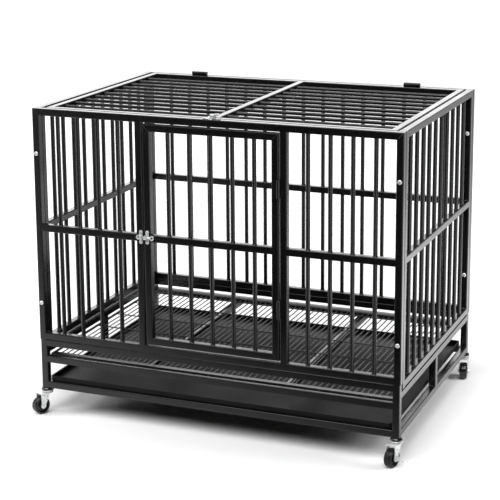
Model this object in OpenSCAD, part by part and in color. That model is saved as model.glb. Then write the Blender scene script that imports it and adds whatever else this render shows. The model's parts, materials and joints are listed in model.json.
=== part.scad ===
// Heavy duty dog crate on casters: panels of square tube and round bars bolted at the
// corners, a front door, a hinged lid, a wire floor and a slide-out tray in the base.
// The origin is on the floor under the middle of the cage, the front faces -Y.

/* [Overall] */
// Length of the cage, left to right
crate_l = 1070; // [900:5:1250]
// Depth of the cage, front to back
crate_w = 740; // [600:5:900]
// Height of the front and rear panels
cage_h = 669; // [560:1:800]
// Height of the base frame
base_h = 146; // [135:1:180]
// Height of the underside of the base above the floor
ride_h = 75; // [73:1:90]

/* [Tube and bars] */
// Width of the square tube
tube = 20; // [17:0.5:24]
// Diameter of the round bars in the panels and the door
rod_d = 12; // [8:0.5:14]
// How much lower the side and rear panels reach than the front panel
side_drop = 17; // [8:1:22]
// Gap between the side panels and the base's upper side rails
side_rail_gap = 5.5; // [2:0.5:10]
// How far the base stands in from each end of the cage
base_inset = 2; // [0:0.5:4]
// Height of the middle rail's centre above the base
mid_rail_h = 328; // [250:1:380]
// Bars on each side of the doorway
front_bars = 4; // [2:1:6]
// Bars in the rear panel
rear_bars = 15; // [8:1:20]
// Bars in each side panel
side_bars = 10; // [6:1:14]

/* [Door] */
// Clear width of the doorway
doorway_w = 400; // [300:5:500]
// Gap at each side of the door
door_gap = 3.5; // [2:0.25:6]
// Gap above and below the door
door_gap_z = 4; // [2:0.25:8]
// Bars in the door
door_bars = 5; // [3:1:8]
// Distance of each door hinge from the door's end
door_hinge_inset = 146; // [60:1:220]
// Height of the door latch above the middle rail's centre
latch_rise = 3; // [0:0.5:6]

/* [Lid] */
// Gap in front of the lid and behind it
lid_gap = 3; // [2:0.25:5]
// Mean gap beside the lid
lid_side_gap = 8; // [5:0.5:10]
// How far the lid sits to the right of the middle
lid_shift = 2.5; // [0:0.5:3]
// Bars in the lid
lid_bars = 10; // [6:1:14]
// Diameter of the lid's bars
lid_rod_d = 10; // [8:0.5:14]
// Distance of each lid hinge from the middle of the crate
lid_hinge_x = 346; // [150:1:400]

/* [Floor and tray] */
// Height of the floor rails above the underside of the base
floor_rail_h = 77; // [60:1:85]
// Thickness of the floor wires
wire_d = 3.4; // [2.5:0.1:5]
// Spacing of the floor wires
wire_pitch = 17; // [12:0.5:30]
// Spacing of the cross wires
cross_pitch = 124; // [80:1:160]
// Distance of the first cross wire from the front bar of the floor
cross_first = 128; // [60:1:170]
// Width of the floor's front bar
floor_bar_w = 17; // [12:0.5:24]
// Width of the floor's rear bar
floor_rear_w = 37; // [20:0.5:45]
// Thickness of the flat bars round the floor
floor_bar_h = 3.8; // [3.6:0.1:6]
// Height of the tray's walls
tray_wall_h = 15; // [8:1:40]
// Thickness of the tray's sheet
sheet = 1.2; // [0.8:0.1:2]

/* [Hinges and latches] */
// Outside diameter of the hinge barrels
barrel_d = 11; // [9:0.5:13]
// Diameter of the hinge pins
pin_d = 6; // [4:0.25:7]
// Length of a hinge over both barrels
hinge_l = 50; // [40:1:70]
// Diameter of a latch bolt
latch_bolt_d = 6; // [5:0.25:7]
// Travel of a latch bolt
latch_travel = 9; // [6:0.5:12]

/* [Casters] */
// Diameter of the wheels
wheel_d = 50; // [44:1:54]
// Width of the wheels
wheel_w = 22; // [16:0.5:24]
// Distance of the axle behind the swivel
trail = 23; // [18:0.5:26]
// Diameter of the threaded stem
stem_d = 10; // [8:0.5:12]
// Diameter of the axle
axle_d = 6; // [5:0.25:7]
// Thickness of the fork's sheet
fork_t = 2.5; // [1.5:0.1:3]
// Direction in which the front left caster trails
front_left_turn = -117; // [-180:1:180]
// Direction in which the front right caster trails
front_right_turn = -105; // [-180:1:180]
// Direction in which the rear left caster trails
rear_left_turn = 100; // [-180:1:180]
// Direction in which the rear right caster trails
rear_right_turn = -78; // [-180:1:180]

/* [Hidden] */
$fn = 48;

// Overrun of every cut past the surface that it leaves
overrun = 1;
// Gap between parts that move past each other
moving_gap = 0.3;
// Radial clearance of a pin that turns or slides in its bore
running = 0.06;
// How deep a bar or wire runs into what it is welded to
rod_sink = 5;
wire_sink = 0.3;
// First and last gap beside the bars, as a share of the gaps between them
front_end_share = 1;
rear_end_share = 1.13;
side_end_share = 1;
door_end_share = 0.9;
lid_end_share = 1.1;

// Levels and half sizes of the frame
half_l = crate_l / 2;
half_w = crate_w / 2;
base_half = half_l - base_inset;
seam_z = ride_h + base_h;
side_z = seam_z - side_drop;
top_z = seam_z + cage_h;
mid_z = seam_z + mid_rail_h - tube / 2;
side_rail_z = side_z - side_rail_gap - tube;
floor_rail_z = ride_h + floor_rail_h;
floor_z = floor_rail_z + tube;
door_half = doorway_w / 2 - door_gap;
lid_half_l = half_l - tube - lid_side_gap;
lid_half_w = half_w - tube - lid_gap;

// Corner bolts, nuts and pegs
corner_bolt_d = 6;
corner_bolt_clear = 0.2;
bolt_low_h = 108;
bolt_high_h = 541;
bolt_head_d = 12;
bolt_head_rim_h = 1.6;
bolt_head_crown_h = 1.8;
bolt_head_top_d = 8;
bolt_socket_d = 5.4;
bolt_socket_depth = 1.8;
bolt_end = 2;
nut_d = 11;
nut_h = 5;
nut_clear = 0.05;
peg_d = 9;
peg_l = 30;
peg_clear = 0.1;
peg_end = 0.5;
bolt_x = half_l - tube / 2;
bolt_levels = [seam_z + bolt_low_h, seam_z + bolt_high_h];

// Floor and tray
floor_setback = 17;
floor_rear_setback = 13;
floor_end_gap = 3;
floor_end_w = 8;
runner_w = 20;
runner_inset = 12;
runner_t = 3;
tray_side_gap = 5;
tray_inset = 8;

// Hinges
hinge_out_gap = 0.1;
hinge_out = barrel_d / 2 + hinge_out_gap;
barrel_gap = 0.4;
pad_edge = 0.3;
pad_w = 7;
pad_end = 4;
pin_end = 1;

// Latches
plate_t = 1.6;
lobe_r = 5.5;
lobe_y = 14;
lid_lobe_y = 21;
lobe_edge = 0.5;
neck_w = 9;
guide_inset = 1.25;
guide_l = 8;
guide_wall = 2;
socket_l = 6.5;
bolt_tip_inset = 0.45;
bolt_rise = 1;
dimple_d = 4.6;
dimple_depth = 1;
ring_r = 6.8;
ring_hole_d = 6;
ring_t = 4;
ring_clear = 0.4;
eye_r = 6.5;
eye_hole_d = 5.6;
eye_h = 5;
eye_lap = 1;
socket_clear = 0.35;
screw_d = 3.2;
screw_clear = 0.05;
screw_l = 12;
screw_head_d = 6.4;
screw_head_h = 1.6;
screw_slot_w = 1;
screw_slot_depth = 0.8;
latch_bolt_z = plate_t + bolt_rise + latch_bolt_d / 2;
guide_half = latch_bolt_d / 2 + guide_wall;
guide_h = latch_bolt_z + latch_bolt_d / 2 + guide_wall;

// Lid stops
stop_w = 20;
stop_t = 3;
stop_reach = 18;
stop_hold = 12;

// Casters
stem_l = 25;
stem_clear = 0.1;
cap_h = 8;
cap_d = 33;
cap_top_d = 21;
cap_rim_h = 2.5;
cap_bore_gap = 0.3;
race_d = 38;
race_h = 5;
race_flange_h = 2;
race_neck_d = 30;
kingpin_d = 8;
rivet_d = 13;
rivet_h = 2.5;
fork_disc_d = 34;
fork_front = 1;
fork_eye_d = 16;
fork_foot_share = 0.8;
wheel_side_gap = 1.5;
hub_d = 20;
web_w = 11;
rim_t = 6;
rim_slope = 2;
tread_round = 3;
axle_head_d = 10;
axle_head_h = 3;
axle_nut_d = 11;
lever_t = 1.6;
lever_hub_d = 12;
lever_w = 4;
lever_reach = 24;
lever_head_gap = 0.5;
lever_slope = 38;
race_top_z = ride_h - cap_h;
race_z = race_top_z - race_h;
crown_top_z = race_z - moving_gap;
crown_z = crown_top_z - fork_t;
fork_in = wheel_w / 2 + wheel_side_gap;
fork_out = fork_in + fork_t;
axle_z = wheel_d / 2;
lever_room = lever_t + 2 * moving_gap;

// Sides of a caster: left or right, front or rear, and the way it trails
FRONT_LEFT = [-1, -1, front_left_turn];
FRONT_RIGHT = [1, -1, front_right_turn];
REAR_LEFT = [-1, 1, rear_left_turn];
REAR_RIGHT = [1, 1, rear_right_turn];
CASTERS = [FRONT_LEFT, FRONT_RIGHT, REAR_LEFT, REAR_RIGHT];

// Even places between two ends
function spots(count, from, to) = [for (i = [1:count]) from + (to - from) * i / (count + 1)];

// Gap between the bars of a row from one face to another
function bar_gap(count, from, to, end_share, d = rod_d) =
    (to - from - count * d) / (count - 1 + 2 * end_share);

// Centres of those bars
function bar_spots(count, from, to, end_share, d = rod_d) =
    let (gap = bar_gap(count, from, to, end_share, d))
    [for (i = [0:count - 1]) from + end_share * gap + d / 2 + i * (gap + d)];

// Shared shapes
module slab(low, high) {
    translate(low) cube(high - low);
}

module both_sides() {
    children();
    mirror([1, 0, 0]) children();
}

module front_and_back() {
    children();
    mirror([0, 1, 0]) children();
}

module upright(x, y, from, to) {
    translate([x, y, from]) cylinder(d = rod_d, h = to - from);
}

// Bores of the corner bolts through the panels' posts
module corner_bores() {
    front_and_back()
        both_sides()
            for (z = bolt_levels)
                translate([bolt_x, -half_w - overrun, z])
                    rotate([-90, 0, 0])
                        cylinder(d = corner_bolt_d + 2 * corner_bolt_clear, h = 2 * (tube + overrun));
}

// Bores of the pegs between the base and the panels
module at_pegs() {
    both_sides() {
        translate([base_half - tube / 2, -half_w + tube / 2, seam_z - peg_l / 2]) children();
        translate([base_half - tube / 2, half_w - tube / 2, side_z - peg_l / 2]) children();
    }
}

module peg_bores() {
    at_pegs()
        translate([0, 0, -peg_end])
            cylinder(d = peg_d + 2 * peg_clear, h = peg_l + 2 * peg_end);
}

// Base frame
module base_corner_posts() {
    color("dimgray")
        difference() {
            both_sides() {
                slab([base_half - tube, -half_w, ride_h], [base_half, -half_w + tube, seam_z]);
                slab([base_half - tube, half_w - tube, ride_h], [base_half, half_w, side_z]);
            }
            peg_bores();
            for (c = CASTERS)
                at_caster(c)
                    translate([0, 0, ride_h - overrun])
                        cylinder(d = stem_d + 2 * stem_clear, h = stem_l + 2 * overrun);
        }
}

module cross_rail(z) {
    reach = base_half - tube;
    slab([-reach, -half_w, z], [reach, -half_w + tube, z + tube]);
}

module base_cross_rails(top) {
    cross_rail(ride_h);
    cross_rail(floor_rail_z);
    cross_rail(top - tube);
}

module base_front_rails() {
    color("dimgray") base_cross_rails(seam_z);
}

module base_rear_rails() {
    color("dimgray") mirror([0, 1, 0]) base_cross_rails(side_z);
}

module base_side_rails() {
    reach = half_w - tube;
    color("dimgray")
        both_sides()
            for (z = [ride_h, side_rail_z])
                slab([base_half - tube, -reach, z], [base_half, reach, z + tube]);
}

module base_side_struts() {
    color("dimgray")
        both_sides()
            slab([base_half - tube, -tube / 2, ride_h + tube], [base_half, tube / 2, side_rail_z]);
}

module floor_bearers() {
    reach = half_w - tube;
    color("dimgray")
        both_sides()
            slab([doorway_w / 2, -reach, floor_rail_z], [doorway_w / 2 + tube, reach, floor_z]);
}

module tray_runners() {
    reach = half_w - tube;
    side = base_half - tube - runner_inset;
    level = ride_h + tube;
    color("dimgray")
        both_sides()
            slab([side - runner_w, -reach, level - runner_t], [side, reach, level]);
}

// Wire with flats on top and below, along Y
module wire(reach) {
    rotate([90, 0, 0])
        rotate([0, 0, 180 / 8])
            cylinder(d = wire_d / cos(180 / 8), h = 2 * reach, center = true, $fn = 8);
}

module floor_grid() {
    end_x = base_half - tube - floor_end_gap;
    inner_x = end_x - floor_end_w;
    front = -half_w + floor_setback;
    rear = half_w - floor_rear_setback;
    near = front + floor_bar_w;
    far = rear - floor_rear_w;
    wires = floor(2 * inner_x / wire_pitch);
    crosses = floor((far - near - cross_first) / cross_pitch) + 1;
    color("dimgray") {
        slab([-end_x, front, floor_z], [end_x, near, floor_z + floor_bar_h]);
        slab([-end_x, far, floor_z], [end_x, rear, floor_z + floor_bar_h]);
        both_sides()
            slab([inner_x, front, floor_z], [end_x, rear, floor_z + floor_bar_h]);
        for (x = spots(wires - 1, -inner_x, inner_x))
            translate([x, (near + far) / 2, floor_z + wire_d / 2])
                wire((far - near) / 2 + rod_sink);
        for (i = [0:crosses - 1])
            translate([0, near + cross_first + i * cross_pitch, floor_z + wire_d * 3 / 2 - wire_sink])
                rotate([0, 0, 90]) wire(inner_x + rod_sink);
    }
}

module tray() {
    side = base_half - tube - tray_side_gap;
    front = half_w - tray_inset;
    level = ride_h + tube + moving_gap;
    color("black")
        difference() {
            slab([-side, -front, level], [side, front, level + tray_wall_h]);
            slab([-side + sheet, -front + sheet, level + sheet],
                 [side - sheet, front - sheet, level + tray_wall_h + overrun]);
        }
}

// Front panel: mitred top rail, sill, and a grille on each side of the doorway
module front_prism(outline) {
    translate([0, -half_w + tube, 0])
        rotate([90, 0, 0])
            linear_extrude(height = tube) polygon(outline);
}

module front_top_rail() {
    inner = half_l - tube;
    color("dimgray")
        difference() {
            front_prism([[-half_l, top_z], [-inner, top_z - tube], [inner, top_z - tube], [half_l, top_z]]);
            at_lid_latch() keeper_holes(lid_gap, lid_lobe_y);
        }
}

module front_sill_rail() {
    inner = half_l - tube;
    color("dimgray")
        slab([-inner, -half_w, seam_z], [inner, -half_w + tube, seam_z + tube]);
}

// Grille on the right of the doorway, without its holes
module front_grille() {
    inner = half_l - tube;
    jamb = doorway_w / 2;
    low = seam_z + tube;
    high = top_z - tube;
    front_prism([[half_l, seam_z], [half_l, top_z], [inner, high], [inner, seam_z]]);
    slab([jamb, -half_w, low], [jamb + tube, -half_w + tube, high]);
    slab([jamb + tube - rod_sink, -half_w, mid_z], [inner + rod_sink, -half_w + tube, mid_z + tube]);
    for (x = bar_spots(front_bars, jamb + tube, inner, front_end_share))
        upright(x, -half_w + tube / 2, low, high);
}

module front_right_grille() {
    color("dimgray")
        difference() {
            front_grille();
            corner_bores();
            peg_bores();
        }
}

module front_left_grille() {
    color("dimgray")
        difference() {
            mirror([1, 0, 0]) front_grille();
            corner_bores();
            peg_bores();
            at_door_latch() keeper_holes(door_gap);
        }
}

// Rear and side panels
module rear_panel() {
    inner = half_l - tube;
    front = half_w - tube;
    color("dimgray")
        difference() {
            union() {
                both_sides()
                    slab([inner, front, side_z], [half_l, half_w, top_z]);
                for (z = [side_z, mid_z, top_z - tube])
                    slab([-inner - rod_sink, front, z], [inner + rod_sink, half_w, z + tube]);
                for (x = bar_spots(rear_bars, -inner, inner, rear_end_share))
                    upright(x, half_w - tube / 2, side_z + tube - rod_sink, top_z - tube + rod_sink);
            }
            corner_bores();
            peg_bores();
        }
}

module side_panel() {
    inner = half_l - tube;
    end = half_w - tube;
    difference() {
        union() {
            front_and_back()
                slab([inner, end - tube, side_z], [half_l, end, top_z]);
            for (z = [side_z, mid_z, top_z - tube])
                slab([inner, -end + tube - rod_sink, z], [half_l, end - tube + rod_sink, z + tube]);
            for (y = bar_spots(side_bars, -end + tube, end - tube, side_end_share))
                upright(half_l - tube / 2, y, side_z + tube - rod_sink, top_z - tube + rod_sink);
        }
        corner_bores();
    }
}

module right_panel() {
    color("dimgray") side_panel();
}

module left_panel() {
    color("dimgray") mirror([1, 0, 0]) side_panel();
}

// Fasteners of the corners
module round_head() {
    difference() {
        union() {
            cylinder(d = bolt_head_d, h = bolt_head_rim_h);
            translate([0, 0, bolt_head_rim_h])
                cylinder(d1 = bolt_head_d, d2 = bolt_head_top_d, h = bolt_head_crown_h);
        }
        translate([0, 0, bolt_head_rim_h + bolt_head_crown_h - bolt_socket_depth])
            cylinder(d = bolt_socket_d, h = bolt_socket_depth + overrun, $fn = 6);
    }
}

// Every corner bolt's place, with +Z along the shank from the face under the head
module at_corner_bolts() {
    for (x = [-bolt_x, bolt_x], z = bolt_levels, y = [-half_w, half_w - 2 * tube])
        translate([x, y, z]) rotate([-90, 0, 0]) children();
}

module corner_bolts() {
    color("silver")
        at_corner_bolts() {
            cylinder(d = corner_bolt_d, h = 2 * tube + nut_h + bolt_end);
            mirror([0, 0, 1]) round_head();
        }
}

module corner_nuts() {
    color("silver")
        at_corner_bolts()
            translate([0, 0, 2 * tube])
                difference() {
                    cylinder(d = nut_d, h = nut_h, $fn = 6);
                    translate([0, 0, -overrun])
                        cylinder(d = corner_bolt_d + 2 * nut_clear, h = nut_h + 2 * overrun);
                }
}

module corner_pegs() {
    color("silver")
        at_pegs() cylinder(d = peg_d, h = peg_l);
}

// Hinges: the axis is along Z, the frame is on the +X side and its face is at +Y
module barrel(side, gap, from, to) {
    near = gap / 2 + pad_edge;
    difference() {
        union() {
            translate([0, 0, from]) cylinder(d = barrel_d, h = to - from);
            mirror([side < 0 ? 1 : 0, 0, 0])
                slab([near, 0, from + pad_end], [near + pad_w, hinge_out, to - pad_end]);
        }
        translate([0, 0, from - overrun])
            cylinder(d = pin_d + 2 * running, h = to - from + 2 * overrun);
    }
}

module hinge_knuckle(gap) {
    barrel(1, gap, -hinge_l / 2, -barrel_gap / 2);
}

module hinge_sleeve(gap) {
    barrel(-1, gap, barrel_gap / 2, hinge_l / 2);
}

module hinge_pin() {
    cylinder(d = pin_d, h = hinge_l - 2 * pin_end, center = true);
}

module at_door_hinges() {
    low = seam_z + tube + door_gap_z + door_hinge_inset;
    high = top_z - tube - door_gap_z - door_hinge_inset;
    for (z = [low, high])
        translate([doorway_w / 2 - door_gap / 2, -half_w - hinge_out, z]) children();
}

module at_lid_hinges() {
    for (x = [-lid_hinge_x, lid_hinge_x])
        translate([x + lid_shift, half_w - tube - lid_gap / 2, top_z + hinge_out])
            rotate([-90, 0, 90]) children();
}

module door_hinge_knuckles() {
    color("dimgray") at_door_hinges() hinge_knuckle(door_gap);
}

module door_hinge_pins() {
    color("silver") at_door_hinges() hinge_pin();
}

module door_hinge_sleeves() {
    color("dimgray") at_door_hinges() hinge_sleeve(door_gap);
}

module lid_hinge_knuckles() {
    color("dimgray") at_lid_hinges() hinge_knuckle(lid_gap);
}

module lid_hinge_pins() {
    color("silver") at_lid_hinges() hinge_pin();
}

module lid_hinge_sleeves() {
    color("dimgray") at_lid_hinges() hinge_sleeve(lid_gap);
}

// Latches: the gap's middle is at X = 0, the keeper on the -X side, the face at Z = 0
function keeper_x(gap) = -(gap / 2 + lobe_edge + lobe_r);
function plate_x(gap) = gap / 2 + tube / 2;

module at_door_latch() {
    translate([-doorway_w / 2 + door_gap / 2, -half_w, mid_z + tube / 2 + latch_rise])
        rotate([90, 0, 0]) children();
}

module at_lid_latch() {
    translate([lid_shift, -half_w + tube + lid_gap / 2, top_z]) rotate([0, 0, 90]) children();
}

// Flat plate with a lobe for a screw at each end
module lobed_plate(x, reach) {
    linear_extrude(height = plate_t)
        difference() {
            union() {
                for (y = [-reach, reach])
                    translate([x, y]) circle(r = lobe_r);
                translate([x, 0]) square([neck_w, 2 * reach], center = true);
            }
            for (y = [-reach, reach])
                translate([x, y]) circle(d = screw_d + 2 * screw_clear);
        }
}

// Bored block that the bolt slides in, from one X to another
module bored_block(from, to, clear) {
    difference() {
        slab([from, -guide_half, 0], [to, guide_half, guide_h]);
        translate([from - overrun, 0, latch_bolt_z])
            rotate([0, 90, 0])
                cylinder(d = latch_bolt_d + 2 * clear, h = to - from + 2 * overrun);
    }
}

module keeper(gap, reach = lobe_y) {
    near = -(gap / 2 + lobe_edge);
    eye_x = near - socket_l - eye_r + eye_lap;
    lobed_plate(keeper_x(gap), reach);
    bored_block(near - socket_l, near, socket_clear);
    difference() {
        translate([eye_x, 0, 0]) cylinder(r = eye_r, h = eye_h);
        translate([eye_x, 0, -overrun]) cylinder(d = eye_hole_d, h = eye_h + 2 * overrun);
        slab([near - socket_l, -guide_half, -overrun], [near, guide_half, eye_h + overrun]);
    }
}

module bolt_plate(gap) {
    from = gap / 2 + guide_inset;
    lobed_plate(plate_x(gap), lobe_y);
    difference() {
        bored_block(from, from + guide_l, running);
        translate([from + guide_l / 2, 0, guide_h - dimple_depth])
            cylinder(d = dimple_d, h = dimple_depth + overrun);
    }
}

module latch_bolt(gap) {
    tip = gap / 2 + bolt_tip_inset;
    ring_x = gap / 2 + guide_inset + guide_l + latch_travel + ring_clear + ring_r;
    translate([tip, 0, latch_bolt_z])
        rotate([0, 90, 0]) cylinder(d = latch_bolt_d, h = ring_x - ring_hole_d / 2 - tip);
    difference() {
        translate([ring_x, 0, latch_bolt_z - ring_t / 2]) cylinder(r = ring_r, h = ring_t);
        translate([ring_x, 0, latch_bolt_z - ring_t / 2 - overrun])
            cylinder(d = ring_hole_d, h = ring_t + 2 * overrun);
        translate([ring_x - ring_r - overrun, 0, latch_bolt_z])
            rotate([0, 90, 0]) cylinder(d = latch_bolt_d, h = ring_r - ring_hole_d / 2 + overrun);
    }
}

module screw_holes(x, reach = lobe_y) {
    for (y = [-reach, reach])
        translate([x, y, -screw_l])
            cylinder(d = screw_d + 2 * screw_clear, h = screw_l + overrun);
}

module keeper_holes(gap, reach = lobe_y) {
    screw_holes(keeper_x(gap), reach);
}

module screws(x, reach = lobe_y) {
    for (y = [-reach, reach])
        translate([x, y, 0]) {
            translate([0, 0, -screw_l + screw_slot_depth])
                cylinder(d = screw_d, h = screw_l - screw_slot_depth + plate_t);
            translate([0, 0, plate_t])
                difference() {
                    cylinder(d = screw_head_d, h = screw_head_h);
                    translate([-screw_head_d, -screw_slot_w / 2, screw_head_h - screw_slot_depth])
                        cube([2 * screw_head_d, screw_slot_w, screw_slot_depth + overrun]);
                }
        }
}

module door_keeper() {
    color("silver") at_door_latch() keeper(door_gap);
}

module door_keeper_screws() {
    color("silver") at_door_latch() screws(keeper_x(door_gap));
}

module door_bolt_plate() {
    color("silver") at_door_latch() bolt_plate(door_gap);
}

module door_plate_screws() {
    color("silver") at_door_latch() screws(plate_x(door_gap));
}

module door_bolt() {
    color("silver") at_door_latch() latch_bolt(door_gap);
}

module lid_keeper() {
    color("silver") at_lid_latch() keeper(lid_gap, lid_lobe_y);
}

module lid_keeper_screws() {
    color("silver") at_lid_latch() screws(keeper_x(lid_gap), lid_lobe_y);
}

module lid_bolt_plate() {
    color("silver") at_lid_latch() bolt_plate(lid_gap);
}

module lid_plate_screws() {
    color("silver") at_lid_latch() screws(plate_x(lid_gap));
}

module lid_bolt() {
    color("silver") at_lid_latch() latch_bolt(lid_gap);
}

// Door and lid
module door() {
    low = seam_z + tube + door_gap_z;
    high = top_z - tube - door_gap_z;
    inner = door_half - tube;
    color("dimgray")
        difference() {
            union() {
                both_sides()
                    slab([inner, -half_w, low], [door_half, -half_w + tube, high]);
                for (z = [low, mid_z, high - tube])
                    slab([-inner - rod_sink, -half_w, z], [inner + rod_sink, -half_w + tube, z + tube]);
                for (x = bar_spots(door_bars, -inner, inner, door_end_share))
                    upright(x, -half_w + tube / 2, low + tube - rod_sink, high - tube + rod_sink);
            }
            at_door_latch() screw_holes(plate_x(door_gap));
        }
}

module lid() {
    inner_l = lid_half_l - tube;
    inner_w = lid_half_w - tube;
    low = top_z - tube;
    color("dimgray")
        difference() {
            translate([lid_shift, 0, 0]) {
                both_sides()
                    slab([inner_l, -lid_half_w, low], [lid_half_l, lid_half_w, top_z]);
                front_and_back()
                    slab([-inner_l - rod_sink, inner_w, low], [inner_l + rod_sink, lid_half_w, top_z]);
                slab([-tube / 2, -inner_w - rod_sink, low], [tube / 2, inner_w + rod_sink, top_z]);
                for (y = bar_spots(lid_bars, -inner_w, inner_w, lid_end_share, lid_rod_d))
                    translate([-inner_l - rod_sink, y, top_z - tube / 2])
                        rotate([0, 90, 0]) cylinder(d = lid_rod_d, h = 2 * (inner_l + rod_sink));
            }
            at_lid_latch() screw_holes(plate_x(lid_gap));
        }
}

// Tabs under the side panels' top rails, between the first post and bar, that the lid lies on
module lid_stops() {
    rail_in = half_l - tube;
    under = top_z - tube;
    first_gap = side_end_share * bar_gap(side_bars, -half_w + 2 * tube, half_w - 2 * tube, side_end_share);
    color("dimgray")
        both_sides()
            translate([0, -half_w + 2 * tube + (first_gap + stop_w) / 2, 0])
                rotate([90, 0, 0])
                    linear_extrude(height = stop_w)
                        polygon([
                            [rail_in + stop_hold, under],
                            [rail_in, under],
                            [rail_in, under - moving_gap],
                            [rail_in - stop_reach, under - moving_gap],
                            [rail_in - stop_reach, under - moving_gap - stop_t],
                            [rail_in + stop_hold, under - moving_gap - stop_t],
                        ]);
}

// Casters: the swivel axis is along Z through the origin, the wheel trails to +X
module at_caster(c) {
    translate([c[0] * (base_half - tube / 2), c[1] * (half_w - tube / 2), 0])
        rotate([0, 0, c[2]]) children();
}

module stem() {
    translate([0, 0, race_top_z - race_flange_h]) cylinder(d = race_d, h = race_flange_h);
    translate([0, 0, race_z]) cylinder(d = race_neck_d, h = race_h - race_flange_h);
    translate([0, 0, race_top_z]) cylinder(d = stem_d, h = cap_h + stem_l);
    translate([0, 0, crown_z - moving_gap])
        cylinder(d = kingpin_d, h = race_z - crown_z + moving_gap);
    translate([0, 0, crown_z - moving_gap - rivet_h]) cylinder(d = rivet_d, h = rivet_h);
}

module caster_cap() {
    bore = stem_d / 2 + cap_bore_gap;
    translate([0, 0, race_top_z])
        rotate_extrude()
            polygon([
                [bore, 0],
                [cap_d / 2, 0],
                [cap_d / 2, cap_rim_h],
                [cap_top_d / 2, cap_h],
                [bore, cap_h],
            ]);
}

module fork_side() {
    foot = fork_eye_d / 2 * fork_foot_share;
    rotate([90, 0, 0])
        linear_extrude(height = fork_t)
            polygon([
                [-fork_front, crown_top_z],
                [trail - foot, axle_z],
                [trail + foot, axle_z],
                [trail + foot, crown_top_z],
            ]);
    translate([trail, 0, axle_z]) rotate([90, 0, 0]) cylinder(d = fork_eye_d, h = fork_t);
}

module fork() {
    back = trail + fork_eye_d / 2 * fork_foot_share;
    difference() {
        union() {
            translate([0, 0, crown_z]) cylinder(d = fork_disc_d, h = fork_t);
            slab([-fork_front, -fork_out, crown_z], [back, fork_out, crown_top_z]);
            translate([0, -fork_in, 0]) fork_side();
            translate([0, fork_out, 0]) fork_side();
        }
        translate([0, 0, crown_z - overrun])
            cylinder(d = kingpin_d + 2 * running, h = fork_t + 2 * overrun);
        translate([trail, 0, axle_z])
            rotate([90, 0, 0])
                cylinder(d = axle_d + 2 * running, h = 2 * (fork_out + overrun), center = true);
    }
}

// Axle with a round head on the -Y side and on the +Y side a nut, or a second head past a lever
module axle(lever = false) {
    far = fork_out + (lever ? lever_room : 0);
    far_d = lever ? axle_head_d : axle_nut_d;
    translate([trail, 0, axle_z])
        rotate([-90, 0, 0]) {
            translate([0, 0, -fork_out - axle_head_h]) cylinder(d = axle_head_d, h = axle_head_h);
            translate([0, 0, -fork_out]) cylinder(d = axle_d, h = fork_out + far);
            translate([0, 0, far]) cylinder(d = far_d, h = axle_head_h, $fn = lever ? $fn : 6);
        }
}

module wheel() {
    bore = axle_d / 2 + running;
    hub_half = fork_in - moving_gap;
    rim_in = wheel_d / 2 - rim_t;
    half = wheel_w / 2;
    side = [
        [hub_d / 2, hub_half],
        [hub_d / 2, web_w / 2],
        [rim_in - rim_slope, web_w / 2],
        [rim_in, half],
        [wheel_d / 2 - tread_round, half],
        [wheel_d / 2, half - tread_round],
    ];
    last = len(side) - 1;
    translate([trail, 0, axle_z])
        rotate([90, 0, 0])
            rotate_extrude()
                polygon(concat(
                    [[bore, -hub_half], [bore, hub_half]],
                    side,
                    [for (i = [last:-1:0]) [side[i][0], -side[i][1]]]
                ));
}

// Lever on the axle: a strap that rises past the axle's head and slopes down outside it
module brake_lever() {
    past_head = moving_gap + axle_head_h;
    bend = axle_head_d / 2 + lever_head_gap + past_head * tan(lever_slope);
    run = lever_reach * cos(lever_slope);
    fall = lever_reach * sin(lever_slope);
    lip = [lever_t * sin(lever_slope), lever_t * cos(lever_slope)];
    crest = bend + lever_t * tan(lever_slope) + lever_t / cos(lever_slope);
    translate([trail, fork_out + moving_gap, axle_z])
        difference() {
            union() {
                rotate([-90, 0, 0]) cylinder(d = lever_hub_d, h = lever_t);
                translate([-lever_w / 2, 0, 0])
                    rotate([90, 0, 90])
                        linear_extrude(height = lever_w)
                            polygon([
                                [0, 0],
                                [lever_t, 0],
                                [lever_t, bend],
                                [lever_t + run, bend - fall],
                                [lever_t + run, bend - fall] + lip,
                                [0, crest],
                            ]);
            }
            translate([0, -overrun, 0])
                rotate([-90, 0, 0]) cylinder(d = axle_d + 2 * running, h = lever_t + 2 * overrun);
        }
}

module caster_caps() {
    color("black") for (c = CASTERS) at_caster(c) caster_cap();
}

module front_left_stem() { color("silver") at_caster(FRONT_LEFT) stem(); }
module front_left_fork() { color("silver") at_caster(FRONT_LEFT) fork(); }
module front_left_axle() { color("silver") at_caster(FRONT_LEFT) axle(); }
module front_left_wheel() { color("black") at_caster(FRONT_LEFT) wheel(); }
module front_right_stem() { color("silver") at_caster(FRONT_RIGHT) stem(); }
module front_right_fork() { color("silver") at_caster(FRONT_RIGHT) fork(); }
module front_right_axle() { color("silver") at_caster(FRONT_RIGHT) axle(lever = true); }
module front_right_wheel() { color("black") at_caster(FRONT_RIGHT) wheel(); }
module front_right_brake_lever() { color("silver") at_caster(FRONT_RIGHT) brake_lever(); }
module rear_left_stem() { color("silver") at_caster(REAR_LEFT) stem(); }
module rear_left_fork() { color("silver") at_caster(REAR_LEFT) fork(); }
module rear_left_axle() { color("silver") at_caster(REAR_LEFT) axle(lever = true); }
module rear_left_wheel() { color("black") at_caster(REAR_LEFT) wheel(); }
module rear_left_brake_lever() { color("silver") at_caster(REAR_LEFT) brake_lever(); }
module rear_right_stem() { color("silver") at_caster(REAR_RIGHT) stem(); }
module rear_right_fork() { color("silver") at_caster(REAR_RIGHT) fork(); }
module rear_right_axle() { color("silver") at_caster(REAR_RIGHT) axle(); }
module rear_right_wheel() { color("black") at_caster(REAR_RIGHT) wheel(); }

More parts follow.
